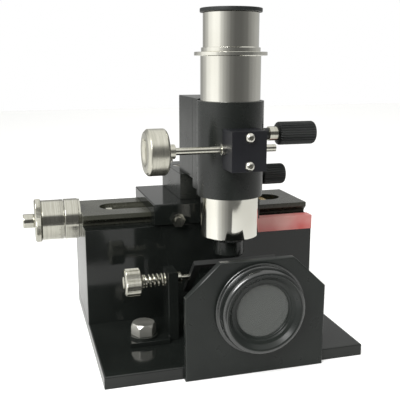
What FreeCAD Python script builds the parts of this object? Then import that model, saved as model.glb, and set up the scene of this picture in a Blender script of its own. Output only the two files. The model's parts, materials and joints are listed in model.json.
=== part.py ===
"""Travelling microscope on a Newton's rings bench.

Millimetres, +Z up. The origin is the centre of the base plate's underside, +X runs along the
dovetail bed away from the micrometer drum, and +Y runs from the lens plate to the riser.
"""
import FreeCAD, Part

import math
import os

import Sketcher

Vector = FreeCAD.Vector
Rotation = FreeCAD.Rotation

DIMENSIONS = {
    # base plate and riser box
    "base_width": 150.0,
    "base_depth": 136.0,
    "base_thick": 7.0,
    "edge_break": 0.6,
    "riser_front_y": 4.0,
    "riser_top_z": 67.3,
    "panel_thick": 4.0,
    "end_thick": 10.0,
    # dovetail bed
    "bed_centre_y": 36.0,
    "bed_width": 46.0,
    "bed_foot_width": 39.6,
    "bed_height": 7.3,
    "bed_lip": 3.0,
    "bed_undercut": 2.6,
    "slot_width": 18.0,
    "slot_left": -62.0,
    "slot_right": 64.0,
    # carriage saddle
    "slide_gap": 0.1,
    "saddle_left": -32.7,
    "saddle_right": 37.0,
    "saddle_front": 2.0,
    "saddle_back": 64.5,
    "saddle_top_z": 81.5,
    "saddle_skirt_z": 68.2,
    "gib_front": 10.4,
    "gib_screw_pitch": 40.0,
    "gib_screw_left": -17.8,
    "gib_screw_z": 71.3,
    "gib_screw_size": 5.0,
    "gib_head_flats": 8.0,
    "gib_head_height": 3.2,
    # column and its block
    "column_centre_x": 6.7,
    "column_width": 33.4,
    "column_front": -5.5,
    "column_back": 27.0,
    "column_top_z": 147.0,
    "block_width": 40.0,
    "block_front": 12.0,
    "block_back": 64.0,
    "block_top_z": 98.3,
    "key_mouth": 14.0,
    "key_root": 18.0,
    "key_depth": 5.0,
    # vertical slide and its barrel
    "slide_low_z": 93.0,
    "slide_front": -17.0,
    "tube_axis_y": -26.5,
    "barrel_outer": 38.4,
    "barrel_bore": 34.6,
    "barrel_low_z": 92.0,
    "barrel_high_z": 146.4,
    # focusing tube and optics
    "tube_outer": 34.2,
    "tube_bore": 31.7,
    "tube_low_z": 68.0,
    "tube_high_z": 171.2,
    "flange_outer": 41.2,
    "flange_thick": 2.1,
    "nose_height": 6.0,
    "objective_outer": 18.5,
    "objective_low_z": 55.5,
    "objective_bore": 11.0,
    "eyepiece_outer": 31.5,
    "eyepiece_bore": 28.5,
    "eyepiece_low_z": 150.0,
    "eyepiece_high_z": 194.6,
    "bead_outer": 33.4,
    "bead_height": 2.4,
    "cap_outer": 34.9,
    "cap_height": 2.2,
    "eye_hole": 11.0,
    # rack and pinion drives
    "height_module": 0.8,
    "height_teeth": 12.0,
    "height_axis_z": 122.6,
    "height_shaft": 5.0,
    "focus_module": 0.6,
    "focus_teeth": 14.0,
    "focus_axis_z": 121.2,
    "focus_shaft": 4.0,
    "rack_width": 6.0,
    "pinion_width": 5.0,
    "running_gap": 0.05,
    # hand knobs
    "height_knob_dia": 15.0,
    "height_knob_left": 49.5,
    "height_knob_right": 75.6,
    "height_collar_dia": 9.2,
    "height_collar_left": 43.9,
    "height_spacer_dia": 7.2,
    "height_spacer_reach": 3.4,
    "lock_knob_dia": 13.8,
    "lock_knob_left": 45.0,
    "lock_knob_right": 61.5,
    "lock_axis_y": 22.0,
    "lock_axis_z": 93.6,
    "focus_knob_dia": 25.0,
    "focus_knob_left": -47.5,
    "focus_knob_right": -35.8,
    "focus_collar_dia": 7.8,
    "focus_collar_right": -31.2,
    "focus_shaft_right": 26.3,
    "block_face_y": -59.5,
    "pinion_block_width": 19.8,
    "pinion_block_height": 22.0,
    "block_screw_pitch": 15.0,
    # micrometer and lead screw
    "screw_axis_z": 68.2,
    "screw_dia": 6.0,
    "journal_dia": 5.0,
    "sleeve_dia": 26.0,
    "sleeve_left": -85.2,
    "drum_dia": 25.6,
    "drum_gap": 0.4,
    "drum_left": -99.2,
    "grip_dia": 27.6,
    "grip_left": -103.6,
    "spindle_dia": 9.1,
    "spindle_left": -110.8,
    # lens plate
    "plate_left": -32.0,
    "plate_right": 48.0,
    "plate_height": 65.0,
    "plate_thick": 4.0,
    "plate_cut_x": 19.0,
    "plate_cut_z": 18.0,
    "lens_x": 9.4,
    "lens_z": 38.0,
    "cell_flange_dia": 51.0,
    "cell_flange_thick": 2.0,
    "cell_rim_dia": 47.0,
    "cell_rim_height": 9.0,
    "cell_neck_dia": 37.6,
    "cell_neck_reach": 8.0,
    "aperture_dia": 29.6,
    "condenser_dia": 33.6,
    "lock_ring_dia": 43.0,
    "lock_ring_thick": 3.2,
    # tilting glass
    "post_left": -32.0,
    "post_width": 6.0,
    "post_front": -33.0,
    "post_depth": 14.0,
    "post_top_z": 48.7,
    "foot_thick": 2.6,
    "foot_left": -56.0,
    "foot_depth": 20.0,
    "bolt_x": -46.0,
    "bolt_y": -27.0,
    "bolt_size": 8.0,
    "bolt_flats": 13.0,
    "bolt_head": 7.0,
    "washer_dia": 17.0,
    "washer_thick": 1.4,
    "tilt_axis_z": 43.0,
    "tilt_rod_dia": 4.0,
    "thumb_left": -57.0,
    "thumb_width": 10.0,
    "thumb_dia": 16.0,
    "spring_dia": 8.2,
    "frame_width": 50.0,
    "frame_height": 35.0,
    "frame_thick": 3.0,
    "frame_border": 4.5,
    "glass_thick": 1.5,
    # Newton's rings cell
    "cell_dia": 46.0,
    "cell_height": 9.0,
    "cell_glass_dia": 38.0,
    "cell_glass_thick": 4.0,
    "cell_lens_thick": 4.2,
    "cell_lens_radius": 500.0,
    "clamp_ring_thick": 3.0,
    "cell_view_dia": 32.0,
}


class Size:
    """A length together with the sheet formula that it comes from."""

    def __init__(self, value, text):
        self.value = value
        self.text = text

    def __add__(self, other):
        other = as_size(other)
        return Size(self.value + other.value, f"({self.text} + {other.text})")

    def __sub__(self, other):
        other = as_size(other)
        return Size(self.value - other.value, f"({self.text} - {other.text})")

    def __mul__(self, factor):
        return Size(self.value * factor, f"({self.text} * {factor})")

    def __truediv__(self, factor):
        return Size(self.value / factor, f"({self.text} / {factor})")

    def __neg__(self):
        return Size(-self.value, f"(0 - {self.text})")

    def __radd__(self, other):
        return as_size(other) + self

    def __rmul__(self, factor):
        return self * factor

    def __rsub__(self, other):
        return as_size(other) - self


def as_size(item):
    """Let a plain number stand where a Size is wanted."""
    if isinstance(item, Size):
        return item
    return Size(float(item), f"({float(item)})")


doc = FreeCAD.newDocument("NewtonRingsBench")
sheet = doc.addObject("Spreadsheet::Sheet", "Dims")
D = {}
for row, (alias, number) in enumerate(DIMENSIONS.items(), start=1):
    sheet.set(f"A{row}", alias.replace("_", " "))
    sheet.set(f"B{row}", str(number))
    sheet.setAlias(f"B{row}", alias)
    D[alias] = Size(number, f"Dims.{alias}")
doc.recompute()

UPRIGHT = Rotation()
ALONG_X = Rotation(Vector(0, 1, 0), 90)
ALONG_Y = Rotation(Vector(1, 0, 0), -90)
AGAINST_Y = Rotation(Vector(1, 0, 0), 90)
DOWNWARD = Rotation(Vector(1, 0, 0), 180)
# A profile drawn in local x, y becomes Y, Z and is drawn out along X.
PROFILE_YZ = Rotation(Vector(1, 1, 1), 120)
# A profile drawn in local x, y becomes X, Z and is drawn out towards -Y.
PROFILE_XZ = Rotation(Vector(1, 0, 0), 90)

nodes = []


def node(obj, label):
    """Name a finished sub-part, so that it is checked and written at the end."""
    obj.Label = label
    nodes.append(obj)
    return obj


def bind(obj, **sizes):
    """Tie properties of an object to the sheet."""
    for prop, size in sizes.items():
        obj.setExpression(prop, as_size(size).text)


def place(obj, at, turn=UPRIGHT):
    """Put an object's local origin at a point, turned by a rotation."""
    at = [as_size(size) for size in at]
    obj.Placement = FreeCAD.Placement(Vector(*[size.value for size in at]), turn)
    for axis, size in zip("xyz", at):
        obj.setExpression(f"Placement.Base.{axis}", size.text)
    return obj


def box(corner, extent):
    """A block from its lowest corner."""
    obj = doc.addObject("Part::Box", "Block")
    bind(obj, Length=extent[0], Width=extent[1], Height=extent[2])
    return place(obj, corner)


def rod(diameter, length, start, turn=UPRIGHT):
    """A round bar from the centre of its first face."""
    obj = doc.addObject("Part::Cylinder", "Bar")
    bind(obj, Radius=as_size(diameter) / 2, Height=length)
    return place(obj, start, turn)


def bore_for(shaft):
    """The bore that a shaft turns freely in."""
    return shaft + 2 * D["running_gap"]


def hexagon(flats, length, start, turn=UPRIGHT):
    """A hexagonal bar, sized across its flats."""
    obj = doc.addObject("Part::Prism", "Hexagon")
    obj.Polygon = 6
    bind(obj, Circumradius=as_size(flats) / math.sqrt(3), Height=length)
    return place(obj, start, turn)


def fuse(*parts):
    """One solid from several that touch or overlap."""
    obj = doc.addObject("Part::MultiFuse", "Joined")
    obj.Shapes = list(parts)
    return obj


def cut(base, *tools):
    """Take tools away from a base."""
    obj = doc.addObject("Part::Cut", "Cut")
    obj.Base = base
    obj.Tool = tools[0] if len(tools) == 1 else fuse(*tools)
    return obj


def group(*parts):
    """Separate solids that share one node."""
    obj = doc.addObject("Part::Compound", "Group")
    obj.Links = list(parts)
    return obj


def origin_plane(body, role):
    """One of a body's own origin planes."""
    return next(item for item in body.Origin.OriginFeatures if item.Role == role)


def draw(body, role, corners):
    """Draw a closed outline on an origin plane, every corner tied to the sheet."""
    sketch = body.newObject("Sketcher::SketchObject", "Outline")
    sketch.AttachmentSupport = [(origin_plane(body, role), "")]
    sketch.MapMode = "FlatFace"
    corners = [(as_size(across), as_size(up)) for across, up in corners]
    points = [Vector(across.value, up.value, 0) for across, up in corners]
    for index, point in enumerate(points):
        sketch.addGeometry(Part.LineSegment(point, points[(index + 1) % len(points)]), False)
    for index in range(len(points)):
        following = (index + 1) % len(points)
        sketch.addConstraint(Sketcher.Constraint("Coincident", index, 2, following, 1))
    for index, corner in enumerate(corners):
        for kind, on_axis, size in (("DistanceX", -2, corner[0]), ("DistanceY", -1, corner[1])):
            if abs(size.value) < 1e-9:
                sketch.addConstraint(Sketcher.Constraint("PointOnObject", index, 1, on_axis))
                continue
            number = sketch.addConstraint(Sketcher.Constraint(kind, -1, 1, index, 1, size.value))
            sketch.setExpression(f"Constraints[{number}]", size.text)
    return sketch


def prism(corners, length, at, turn=UPRIGHT):
    """A body padded from an outline in its local XY plane."""
    body = doc.addObject("PartDesign::Body", "Body")
    pad = body.newObject("PartDesign::Pad", "Pad")
    pad.Profile = draw(body, "XY_Plane", corners)
    bind(pad, Length=length)
    body.Tip = pad
    return place(body, at, turn)


def turned(corners, at, turn=UPRIGHT):
    """A body turned from a half outline of (radius, height) about its local Z axis."""
    body = doc.addObject("PartDesign::Body", "Body")
    sketch = draw(body, "XZ_Plane", corners)
    turning = body.newObject("PartDesign::Revolution", "Revolution")
    turning.Profile = sketch
    turning.ReferenceAxis = (sketch, ["V_Axis"])
    turning.Angle = 360
    body.Tip = turning
    return place(body, at, turn)


def break_edges(body, size, wanted):
    """Chamfer the edges of a body's tip whose local bounding box passes a test."""
    doc.recompute()
    base = body.Tip
    names = [
        f"Edge{index}"
        for index, edge in enumerate(base.Shape.Edges, start=1)
        if wanted(edge.BoundBox)
    ]
    before = base.Shape.Volume
    chamfer = body.newObject("PartDesign::Chamfer", "Chamfer")
    chamfer.Base = (base, names)
    bind(chamfer, Size=size)
    body.Tip = chamfer
    doc.recompute()
    if not names or chamfer.Shape.Volume >= before:
        raise RuntimeError("a chamfer removed nothing")


def cap_screw(size, length, seat, turn):
    """A socket cap screw: the seat is the centre of its head's underside."""
    head = rod(1.8 * size, size, seat, turn)
    shank = rod(size - 0.1, length, seat, turn * DOWNWARD)
    top = turn.multVec(Vector(0, 0, 0.4 * size))
    socket_at = [as_size(size_) + step for size_, step in zip(seat, top)]
    socket = hexagon(0.8 * size, size, socket_at, turn)
    return cut(fuse(head, shank), socket)


def pan_screw(size, length, seat, turn):
    """A slotted pan head screw: the seat is the centre of its head's underside."""
    head = rod(1.9 * size, 0.6 * size, seat, turn)
    shank = rod(size - 0.1, length, seat, turn * DOWNWARD)
    blade = doc.addObject("Part::Box", "Slot")
    blade.Length = 2.4 * size
    blade.Width = 0.25 * size
    blade.Height = size
    corner = turn.multVec(Vector(-1.2 * size, -0.125 * size, 0.35 * size))
    place(blade, [as_size(size_) + step for size_, step in zip(seat, corner)], turn)
    return cut(fuse(head, shank), blade)


# Gear teeth --------------------------------------------------------------------------------

PRESSURE = math.radians(20)
TOOTH_SHARE = 0.92
FLANK_STEPS = 5


def involute(angle):
    return math.tan(angle) - angle


def pinion_shape(module, teeth, width, first_tooth):
    """An involute pinion about local Z, with a tooth pointing at the angle first_tooth."""
    pitch_radius = module * teeth / 2
    base_radius = pitch_radius * math.cos(PRESSURE)
    tip_radius = pitch_radius + 0.9 * module
    root_radius = pitch_radius - 1.15 * module
    half_tooth = TOOTH_SHARE * math.pi / (2 * teeth)

    def half_angle(radius):
        if radius <= base_radius:
            return half_tooth + involute(PRESSURE)
        return half_tooth + involute(PRESSURE) - involute(math.acos(base_radius / radius))

    flank_step = (tip_radius - base_radius) / FLANK_STEPS
    radii = [base_radius + flank_step * k for k in range(FLANK_STEPS + 1)]
    outline = []
    for tooth in range(teeth):
        centre = first_tooth + 2 * math.pi * tooth / teeth
        flank = [(root_radius, half_angle(root_radius))] + [(r, half_angle(r)) for r in radii]
        rising = [(r, centre - spread) for r, spread in flank]
        falling = [(r, centre + spread) for r, spread in reversed(flank)]
        outline += [Vector(r * math.cos(a), r * math.sin(a), 0) for r, a in rising + falling]
    wire = Part.makePolygon(outline + [outline[0]])
    return Part.Face(wire).extrude(Vector(0, 0, width))


def rack_shape(module, count_below, count_above, addendum, back, width):
    """A rack in local XY: pitch line on x = 0, teeth towards +x, a space centred on y = 0."""
    pitch = math.pi * module
    dedendum = 0.9 * module + 0.12
    half = TOOTH_SHARE * pitch / 4
    tip_half = half - addendum * math.tan(PRESSURE)
    root_half = half + dedendum * math.tan(PRESSURE)
    low = -count_below * pitch
    high = count_above * pitch
    outline = [Vector(-back, low, 0), Vector(-dedendum, low, 0)]
    for tooth in range(-count_below, count_above):
        centre = (tooth + 0.5) * pitch
        outline.append(Vector(-dedendum, centre - root_half, 0))
        outline.append(Vector(addendum, centre - tip_half, 0))
        outline.append(Vector(addendum, centre + tip_half, 0))
        outline.append(Vector(-dedendum, centre + root_half, 0))
    outline += [Vector(-dedendum, high, 0), Vector(-back, high, 0)]
    wire = Part.makePolygon(outline + [outline[0]])
    return Part.Face(wire).extrude(Vector(0, 0, width))


def feature(shape, at, turn=UPRIGHT):
    """A plain feature for a shape made by formula."""
    obj = doc.addObject("Part::Feature", "Formed")
    obj.Shape = shape
    obj.Placement = FreeCAD.Placement(Vector(*at), turn)
    return obj


# Screws: nominal sizes and where they stand ------------------------------------------------

RISER_SCREW = 4
RISER_SCREW_Y = (18, 54)
COUNTERBORE = 4.4
PANEL_SCREW = 3
PANEL_SCREW_Z = (17, 54)
BED_SCREW_X = (-52, 52)
BED_SCREW_Y = (21.6, 50.4)
BED_SCREW_REACH = 9
ANGLE_SCREW_X = (-14.0, 30.0)
ANGLE_BASE_SCREW_Y = -58.0
ANGLE_PLATE_SCREW_Z = 13.2
BLOCK_SCREW = 5
BLOCK_SCREW_Y = 46.0
BLOCK_SCREW_SPREAD = 12.0
BLOCK_SCREW_SINK = 5.2
RING_SCREW = 2

# Other sizes that more than one function needs ---------------------------------------------

ANGLE_THICK = 3.0
LOCK_STEM = 5.0
BUSH_DIA = 12.0
PINION_ROOM = 7.0
FOCUS_ROOM = 10.4
TAIL_WALL = 4.0
RACK_BACK = 3.0
HEIGHT_ADDENDUM = 0.55
FOCUS_ADDENDUM = 0.48
# Teeth below and above the pinion's axis.
HEIGHT_RACK_TEETH = (11, 8)
FOCUS_RACK_TEETH = (13, 9)

half_width = D["base_width"] / 2
half_depth = D["base_depth"] / 2
riser_low = D["base_thick"]
riser_back = half_depth
panel = D["panel_thick"]
inner_front = D["riser_front_y"] + panel
inner_back = riser_back - panel
deck_low = D["riser_top_z"] - panel
end_centre_x = half_width - D["end_thick"] / 2
plate_front = -half_depth - D["plate_thick"]
tilt_y = D["tube_axis_y"]
screw_line = (D["bed_centre_y"], D["screw_axis_z"])
bearing_left = D["slot_right"] - D["slot_width"] / 2 - 4.5
block_screw_x = [D["column_centre_x"] + side * BLOCK_SCREW_SPREAD for side in (-1, 1)]
pinion_screw_z = [D["focus_axis_z"] + D["block_screw_pitch"] * side / 2 for side in (-1, 1)]
height_pitch_y = D["column_front"] + D["key_depth"] + RACK_BACK
height_axis_y = height_pitch_y + D["height_module"] * DIMENSIONS["height_teeth"] / 2
focus_pitch_y = D["tube_axis_y"] - D["tube_outer"] / 2 + 0.1 + FOCUS_ADDENDUM
focus_axis_y = focus_pitch_y - D["focus_module"] * DIMENSIONS["focus_teeth"] / 2


# Base plate and riser box ------------------------------------------------------------------

def base_plate():
    corners = [
        (-half_width, -half_depth),
        (half_width, -half_depth),
        (half_width, half_depth),
        (-half_width, half_depth),
    ]
    blank = prism(corners, D["base_thick"], (0, 0, 0))
    top = DIMENSIONS["base_thick"]
    break_edges(blank, D["edge_break"], lambda b: b.ZMin > top - 0.1)
    holes = [rod(D["bolt_size"], D["base_thick"], (D["bolt_x"], D["bolt_y"], 0))]
    for x in (-end_centre_x, end_centre_x):
        for y in RISER_SCREW_Y:
            holes.append(rod(RISER_SCREW + 0.5, D["base_thick"], (x, y, 0)))
            holes.append(rod(2 * RISER_SCREW, COUNTERBORE, (x, y, 0)))
    for x in ANGLE_SCREW_X:
        holes.append(rod(PANEL_SCREW, D["base_thick"], (x, ANGLE_BASE_SCREW_Y, 0)))
    return node(cut(blank, *holes), "base_plate")


def riser_panels():
    height = D["riser_top_z"] - riser_low
    front = box((-half_width, D["riser_front_y"], riser_low), (D["base_width"], panel, height))
    node(front, "riser_front_panel")
    rear = box((-half_width, inner_back, riser_low), (D["base_width"], panel, height))
    rear_holes = [
        rod(PANEL_SCREW + 0.4, panel, (x, inner_back, z), ALONG_Y)
        for x in (-end_centre_x, end_centre_x)
        for z in PANEL_SCREW_Z
    ]
    node(cut(rear, *rear_holes), "riser_rear_panel")
    ends = []
    for x in (-end_centre_x, end_centre_x):
        corner = (x - D["end_thick"] / 2, inner_front, riser_low)
        blank = box(corner, (D["end_thick"], inner_back - inner_front, deck_low - riser_low))
        taps = [rod(RISER_SCREW, 12, (x, y, riser_low)) for y in RISER_SCREW_Y]
        taps += [rod(PANEL_SCREW, 8, (x, inner_back, z), AGAINST_Y) for z in PANEL_SCREW_Z]
        ends.append(cut(blank, *taps))
    node(group(*ends), "riser_end_plates")


def riser_deck():
    depth = inner_back - inner_front
    deck = box((-half_width, inner_front, deck_low), (D["base_width"], depth, panel))
    window = bed_slot(deck_low, panel)
    channel = screw_channel(deck_low, panel)
    holes = [
        rod(RISER_SCREW + 0.4, panel, (x, y, deck_low)) for x in BED_SCREW_X for y in BED_SCREW_Y
    ]
    return node(cut(deck, window, channel, *holes), "riser_top_plate")


def bed_slot(low, height):
    """A cutter for the long round-ended slot that the nut travels in."""
    left, right, width = D["slot_left"], D["slot_right"], D["slot_width"]
    centre_y = D["bed_centre_y"]
    extent = (right - left - width, width, height)
    middle = box((left + width / 2, centre_y - width / 2, low), extent)
    first = rod(width, height, (left + width / 2, centre_y, low))
    last = rod(width, height, (right - width / 2, centre_y, low))
    return fuse(middle, first, last)


def screw_channel(low, height):
    """Room for the lead screw's journals at both ends of the slot."""
    width = D["screw_dia"] + 1.2
    corner = (-half_width, D["bed_centre_y"] - width / 2, low)
    return box(corner, (D["base_width"], width, height))


def dovetail_bed():
    low = D["riser_top_z"]
    top = low + D["bed_height"]
    lip = top - D["bed_lip"]
    foot = lip - D["bed_undercut"]
    centre = D["bed_centre_y"]
    wide = D["bed_width"] / 2
    narrow = D["bed_foot_width"] / 2
    section = [
        (centre - narrow, low),
        (centre + narrow, low),
        (centre + narrow, foot),
        (centre + wide, lip),
        (centre + wide, top),
        (centre - wide, top),
        (centre - wide, lip),
        (centre - narrow, foot),
    ]
    blank = prism(section, D["base_width"], (-half_width, 0, 0), PROFILE_YZ)
    window = bed_slot(low, D["bed_height"])
    channel = screw_channel(low, D["screw_axis_z"] + D["screw_dia"] / 2 + 0.6 - low)
    tap_depth = BED_SCREW_REACH - panel
    taps = [rod(RISER_SCREW, tap_depth, (x, y, low)) for x in BED_SCREW_X for y in BED_SCREW_Y]
    return node(cut(blank, window, channel, *taps), "dovetail_bed")


def riser_screws():
    """The screws that hold the end plates and the bed, all driven from below."""
    screws = []
    for x in (-end_centre_x, end_centre_x):
        for y in RISER_SCREW_Y:
            screws.append(cap_screw(RISER_SCREW, 10, (x, y, COUNTERBORE), DOWNWARD))
    for x in BED_SCREW_X:
        for y in BED_SCREW_Y:
            seat = (x, y, deck_low)
            screws.append(cap_screw(RISER_SCREW, BED_SCREW_REACH - 0.5, seat, DOWNWARD))
    node(group(*screws), "socket_screws_m4")


def front_label():
    """A blank enamelled strip folded over the riser's front top edge."""
    thick, drop, fold_depth = 0.4, 8.8, 8.0
    left = 30.0
    length = half_width - left
    face_y = D["riser_front_y"] - thick
    leaf = box((left, face_y, D["riser_top_z"] - drop), (length, thick, drop + thick))
    fold = box((left, face_y, D["riser_top_z"]), (length, fold_depth, thick))
    return node(fuse(leaf, fold), "label_strip")


# Lens plate and condenser ------------------------------------------------------------------

def lens_plate():
    left, right, height = D["plate_left"], D["plate_right"], D["plate_height"]
    blank = prism(
        [
            (left, 0),
            (right, 0),
            (right, height - D["plate_cut_z"]),
            (right - D["plate_cut_x"], height),
            (left + D["plate_cut_x"], height),
            (left, height - D["plate_cut_z"]),
        ],
        D["plate_thick"],
        (0, -half_depth, 0),
        PROFILE_XZ,
    )
    face = DIMENSIONS["plate_thick"]
    break_edges(blank, D["edge_break"], lambda b: b.ZMin > face - 0.1)
    lens_at = (D["lens_x"], plate_front, D["lens_z"])
    hole = rod(D["cell_neck_dia"], D["plate_thick"], lens_at, ALONG_Y)
    taps = [
        rod(PANEL_SCREW, 2.6, (x, -half_depth, ANGLE_PLATE_SCREW_Z), AGAINST_Y)
        for x in ANGLE_SCREW_X
    ]
    return node(cut(blank, hole, *taps), "lens_plate")


def plate_angle():
    """The steel angle that holds the lens plate to the base plate."""
    corner = (-22.0, -half_depth, riser_low)
    length, leg, rise = 60.0, 14.0, 9.2
    floor = box(corner, (length, leg, ANGLE_THICK))
    wall = box(corner, (length, ANGLE_THICK, rise))
    holes = []
    for x in ANGLE_SCREW_X:
        floor_hole = (x, ANGLE_BASE_SCREW_Y, riser_low)
        wall_hole = (x, -half_depth, ANGLE_PLATE_SCREW_Z)
        holes.append(rod(PANEL_SCREW + 0.4, ANGLE_THICK, floor_hole))
        holes.append(rod(PANEL_SCREW + 0.4, ANGLE_THICK, wall_hole, ALONG_Y))
    return node(cut(fuse(floor, wall), *holes), "plate_angle")


def pan_screws():
    screws = []
    for x in ANGLE_SCREW_X:
        floor_seat = (x, ANGLE_BASE_SCREW_Y, riser_low + ANGLE_THICK)
        wall_seat = (x, -half_depth + ANGLE_THICK, ANGLE_PLATE_SCREW_Z)
        screws.append(pan_screw(PANEL_SCREW, 8, floor_seat, UPRIGHT))
        screws.append(pan_screw(PANEL_SCREW, 5, wall_seat, ALONG_Y))
    for x in (-end_centre_x, end_centre_x):
        for z in PANEL_SCREW_Z:
            screws.append(pan_screw(PANEL_SCREW, 11, (x, riser_back, z), ALONG_Y))
    node(group(*screws), "pan_screws_m3")


def condenser():
    """The lens cell, its lens, the ring that keeps the lens and the ring that holds the cell."""
    flange = D["cell_flange_thick"]
    rim = D["cell_rim_height"]
    neck_end = -(D["plate_thick"] + D["cell_neck_reach"])
    bore = D["condenser_dia"] / 2 + 0.1
    seat = 4.2
    cell = turned(
        [
            (D["aperture_dia"] / 2, seat + 1.4),
            (D["aperture_dia"] / 2 + 1.2, seat + 1.8),
            (D["aperture_dia"] / 2 + 3.2, seat + 2.4),
            (D["cell_rim_dia"] / 2 - 3.2, rim),
            (D["cell_rim_dia"] / 2 - 1.0, rim),
            (D["cell_rim_dia"] / 2, rim - 1.0),
            (D["cell_rim_dia"] / 2, flange),
            (D["cell_flange_dia"] / 2, flange),
            (D["cell_flange_dia"] / 2, 0),
            (D["cell_neck_dia"] / 2 - 0.05, 0),
            (D["cell_neck_dia"] / 2 - 0.05, neck_end),
            (bore, neck_end),
            (bore, seat),
            (D["aperture_dia"] / 2, seat),
        ],
        (D["lens_x"], plate_front, D["lens_z"]),
        AGAINST_Y,
    )
    node(cell, "lens_cell")
    radius = DIMENSIONS["condenser_dia"] / 2
    edge, bulge = 1.6, 3.4
    sphere = (radius ** 2 + bulge ** 2) / (2 * bulge)
    disc = Part.makeCylinder(radius, edge + bulge, Vector(0, 0, -edge - bulge))
    ball = Part.makeSphere(sphere, Vector(0, 0, sphere - edge - bulge))
    lens_at = (DIMENSIONS["lens_x"], plate_front.value - seat, DIMENSIONS["lens_z"])
    node(feature(disc.common(ball), lens_at, AGAINST_Y), "condenser_lens")
    keep_high = seat - edge - 0.27
    keep_low = keep_high - 3.0
    keeper = turned(
        [
            (bore - 2.6, keep_low),
            (bore, keep_low),
            (bore, keep_high),
            (bore - 0.7, keep_high),
            (bore - 2.6, keep_high - 1.8),
        ],
        (D["lens_x"], plate_front, D["lens_z"]),
        AGAINST_Y,
    )
    node(keeper, "lens_keeper_ring")
    ring_start = (D["lens_x"], -half_depth, D["lens_z"])
    ring = rod(D["lock_ring_dia"], D["lock_ring_thick"], ring_start, ALONG_Y)
    ring_bore = rod(D["cell_neck_dia"], D["lock_ring_thick"], ring_start, ALONG_Y)
    node(cut(ring, ring_bore), "cell_lock_ring")


# Post, clamp bolt and tilting glass --------------------------------------------------------

def post():
    upright = box(
        (D["post_left"], D["post_front"], riser_low),
        (D["post_width"], D["post_depth"], D["post_top_z"] - riser_low),
    )
    foot = box(
        (D["foot_left"], D["bolt_y"] - D["foot_depth"] / 2, riser_low),
        (D["post_left"] - D["foot_left"], D["foot_depth"], D["foot_thick"]),
    )
    bolt_hole = rod(D["bolt_size"] + 0.5, D["foot_thick"], (D["bolt_x"], D["bolt_y"], riser_low))
    bearing_start = (D["post_left"], tilt_y, D["tilt_axis_z"])
    bearing = rod(bore_for(D["tilt_rod_dia"]), D["post_width"], bearing_start, ALONG_X)
    return node(cut(fuse(upright, foot), bolt_hole, bearing), "glass_post")


def clamp_bolt():
    seat = riser_low + D["foot_thick"]
    centre = (D["bolt_x"], D["bolt_y"])
    washer = rod(D["washer_dia"], D["washer_thick"], (*centre, seat))
    hole = rod(D["bolt_size"] + 0.4, D["washer_thick"], (*centre, seat))
    node(cut(washer, hole), "clamp_washer")
    head_low = seat + D["washer_thick"]
    head = hexagon(D["bolt_flats"], D["bolt_head"], (*centre, head_low))
    straight = D["bolt_head"] * 0.25
    lower = rod(D["bolt_flats"] * 1.3, straight, (*centre, head_low))
    crown = doc.addObject("Part::Cone", "Crown")
    bind(crown, Radius1=D["bolt_flats"] * 0.72, Radius2=D["bolt_flats"] * 0.44)
    bind(crown, Height=D["bolt_head"] * 0.9)
    place(crown, (*centre, head_low + straight))
    domed = doc.addObject("Part::MultiCommon", "Domed")
    domed.Shapes = [head, fuse(crown, lower)]
    shank = rod(D["bolt_size"] - 0.1, head_low - 0.5, (*centre, 0.5))
    node(fuse(domed, shank), "clamp_bolt")


def tilting_glass():
    axis = (tilt_y, D["tilt_axis_z"])
    frame_left = D["column_centre_x"] - D["frame_width"] / 2
    thumb_start = (D["thumb_left"], *axis)
    thumb = rod(D["thumb_dia"], D["thumb_width"], thumb_start, ALONG_X)
    shaft = rod(D["tilt_rod_dia"], frame_left - D["thumb_left"], thumb_start, ALONG_X)
    node(fuse(thumb, shaft), "tilt_thumb_screw")
    spring_low = D["thumb_left"] + D["thumb_width"] + 0.3
    spring_reach = D["post_left"] - spring_low
    coil = rod(D["spring_dia"], spring_reach, (spring_low, *axis), ALONG_X)
    hollow = rod(D["tilt_rod_dia"] + 1.0, spring_reach, (spring_low, *axis), ALONG_X)
    node(cut(coil, hollow), "tilt_spring")
    collar_low = D["post_left"] + D["post_width"] + 0.3
    collar = rod(D["tilt_rod_dia"] + 3.6, 2.4, (collar_low, *axis), ALONG_X)
    node(cut(collar, rod(D["tilt_rod_dia"], 2.4, (collar_low, *axis), ALONG_X)), "rod_collar")

    tilted = Rotation(Vector(1, 0, 0), -45)
    width, height, thick = D["frame_width"], D["frame_height"], D["frame_thick"]
    border = D["frame_border"]
    middle = (D["column_centre_x"], tilt_y, D["tilt_axis_z"])

    def tilted_box(half_x, half_y, low, tall):
        obj = doc.addObject("Part::Box", "Pane")
        bind(obj, Length=half_x * 2, Width=half_y * 2, Height=tall)
        corner = tilted.multVec(Vector(-half_x.value, -half_y.value, low.value))
        at = [as_size(size) + step for size, step in zip(middle, corner)]
        return place(obj, at, tilted)

    blank = tilted_box(width / 2, height / 2, -thick / 2, thick)
    window = tilted_box(width / 2 - border, height / 2 - border, -thick / 2, thick)
    pane_x = width / 2 - border + 1.4
    pane_y = height / 2 - border + 1.4
    pane_low = thick / 2 - D["glass_thick"]
    rebate = tilted_box(pane_x, pane_y, pane_low, D["glass_thick"])
    node(cut(blank, window, rebate), "glass_frame")
    node(tilted_box(pane_x, pane_y, pane_low, D["glass_thick"]), "tilting_glass")


# Newton's rings cell -----------------------------------------------------------------------

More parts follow.
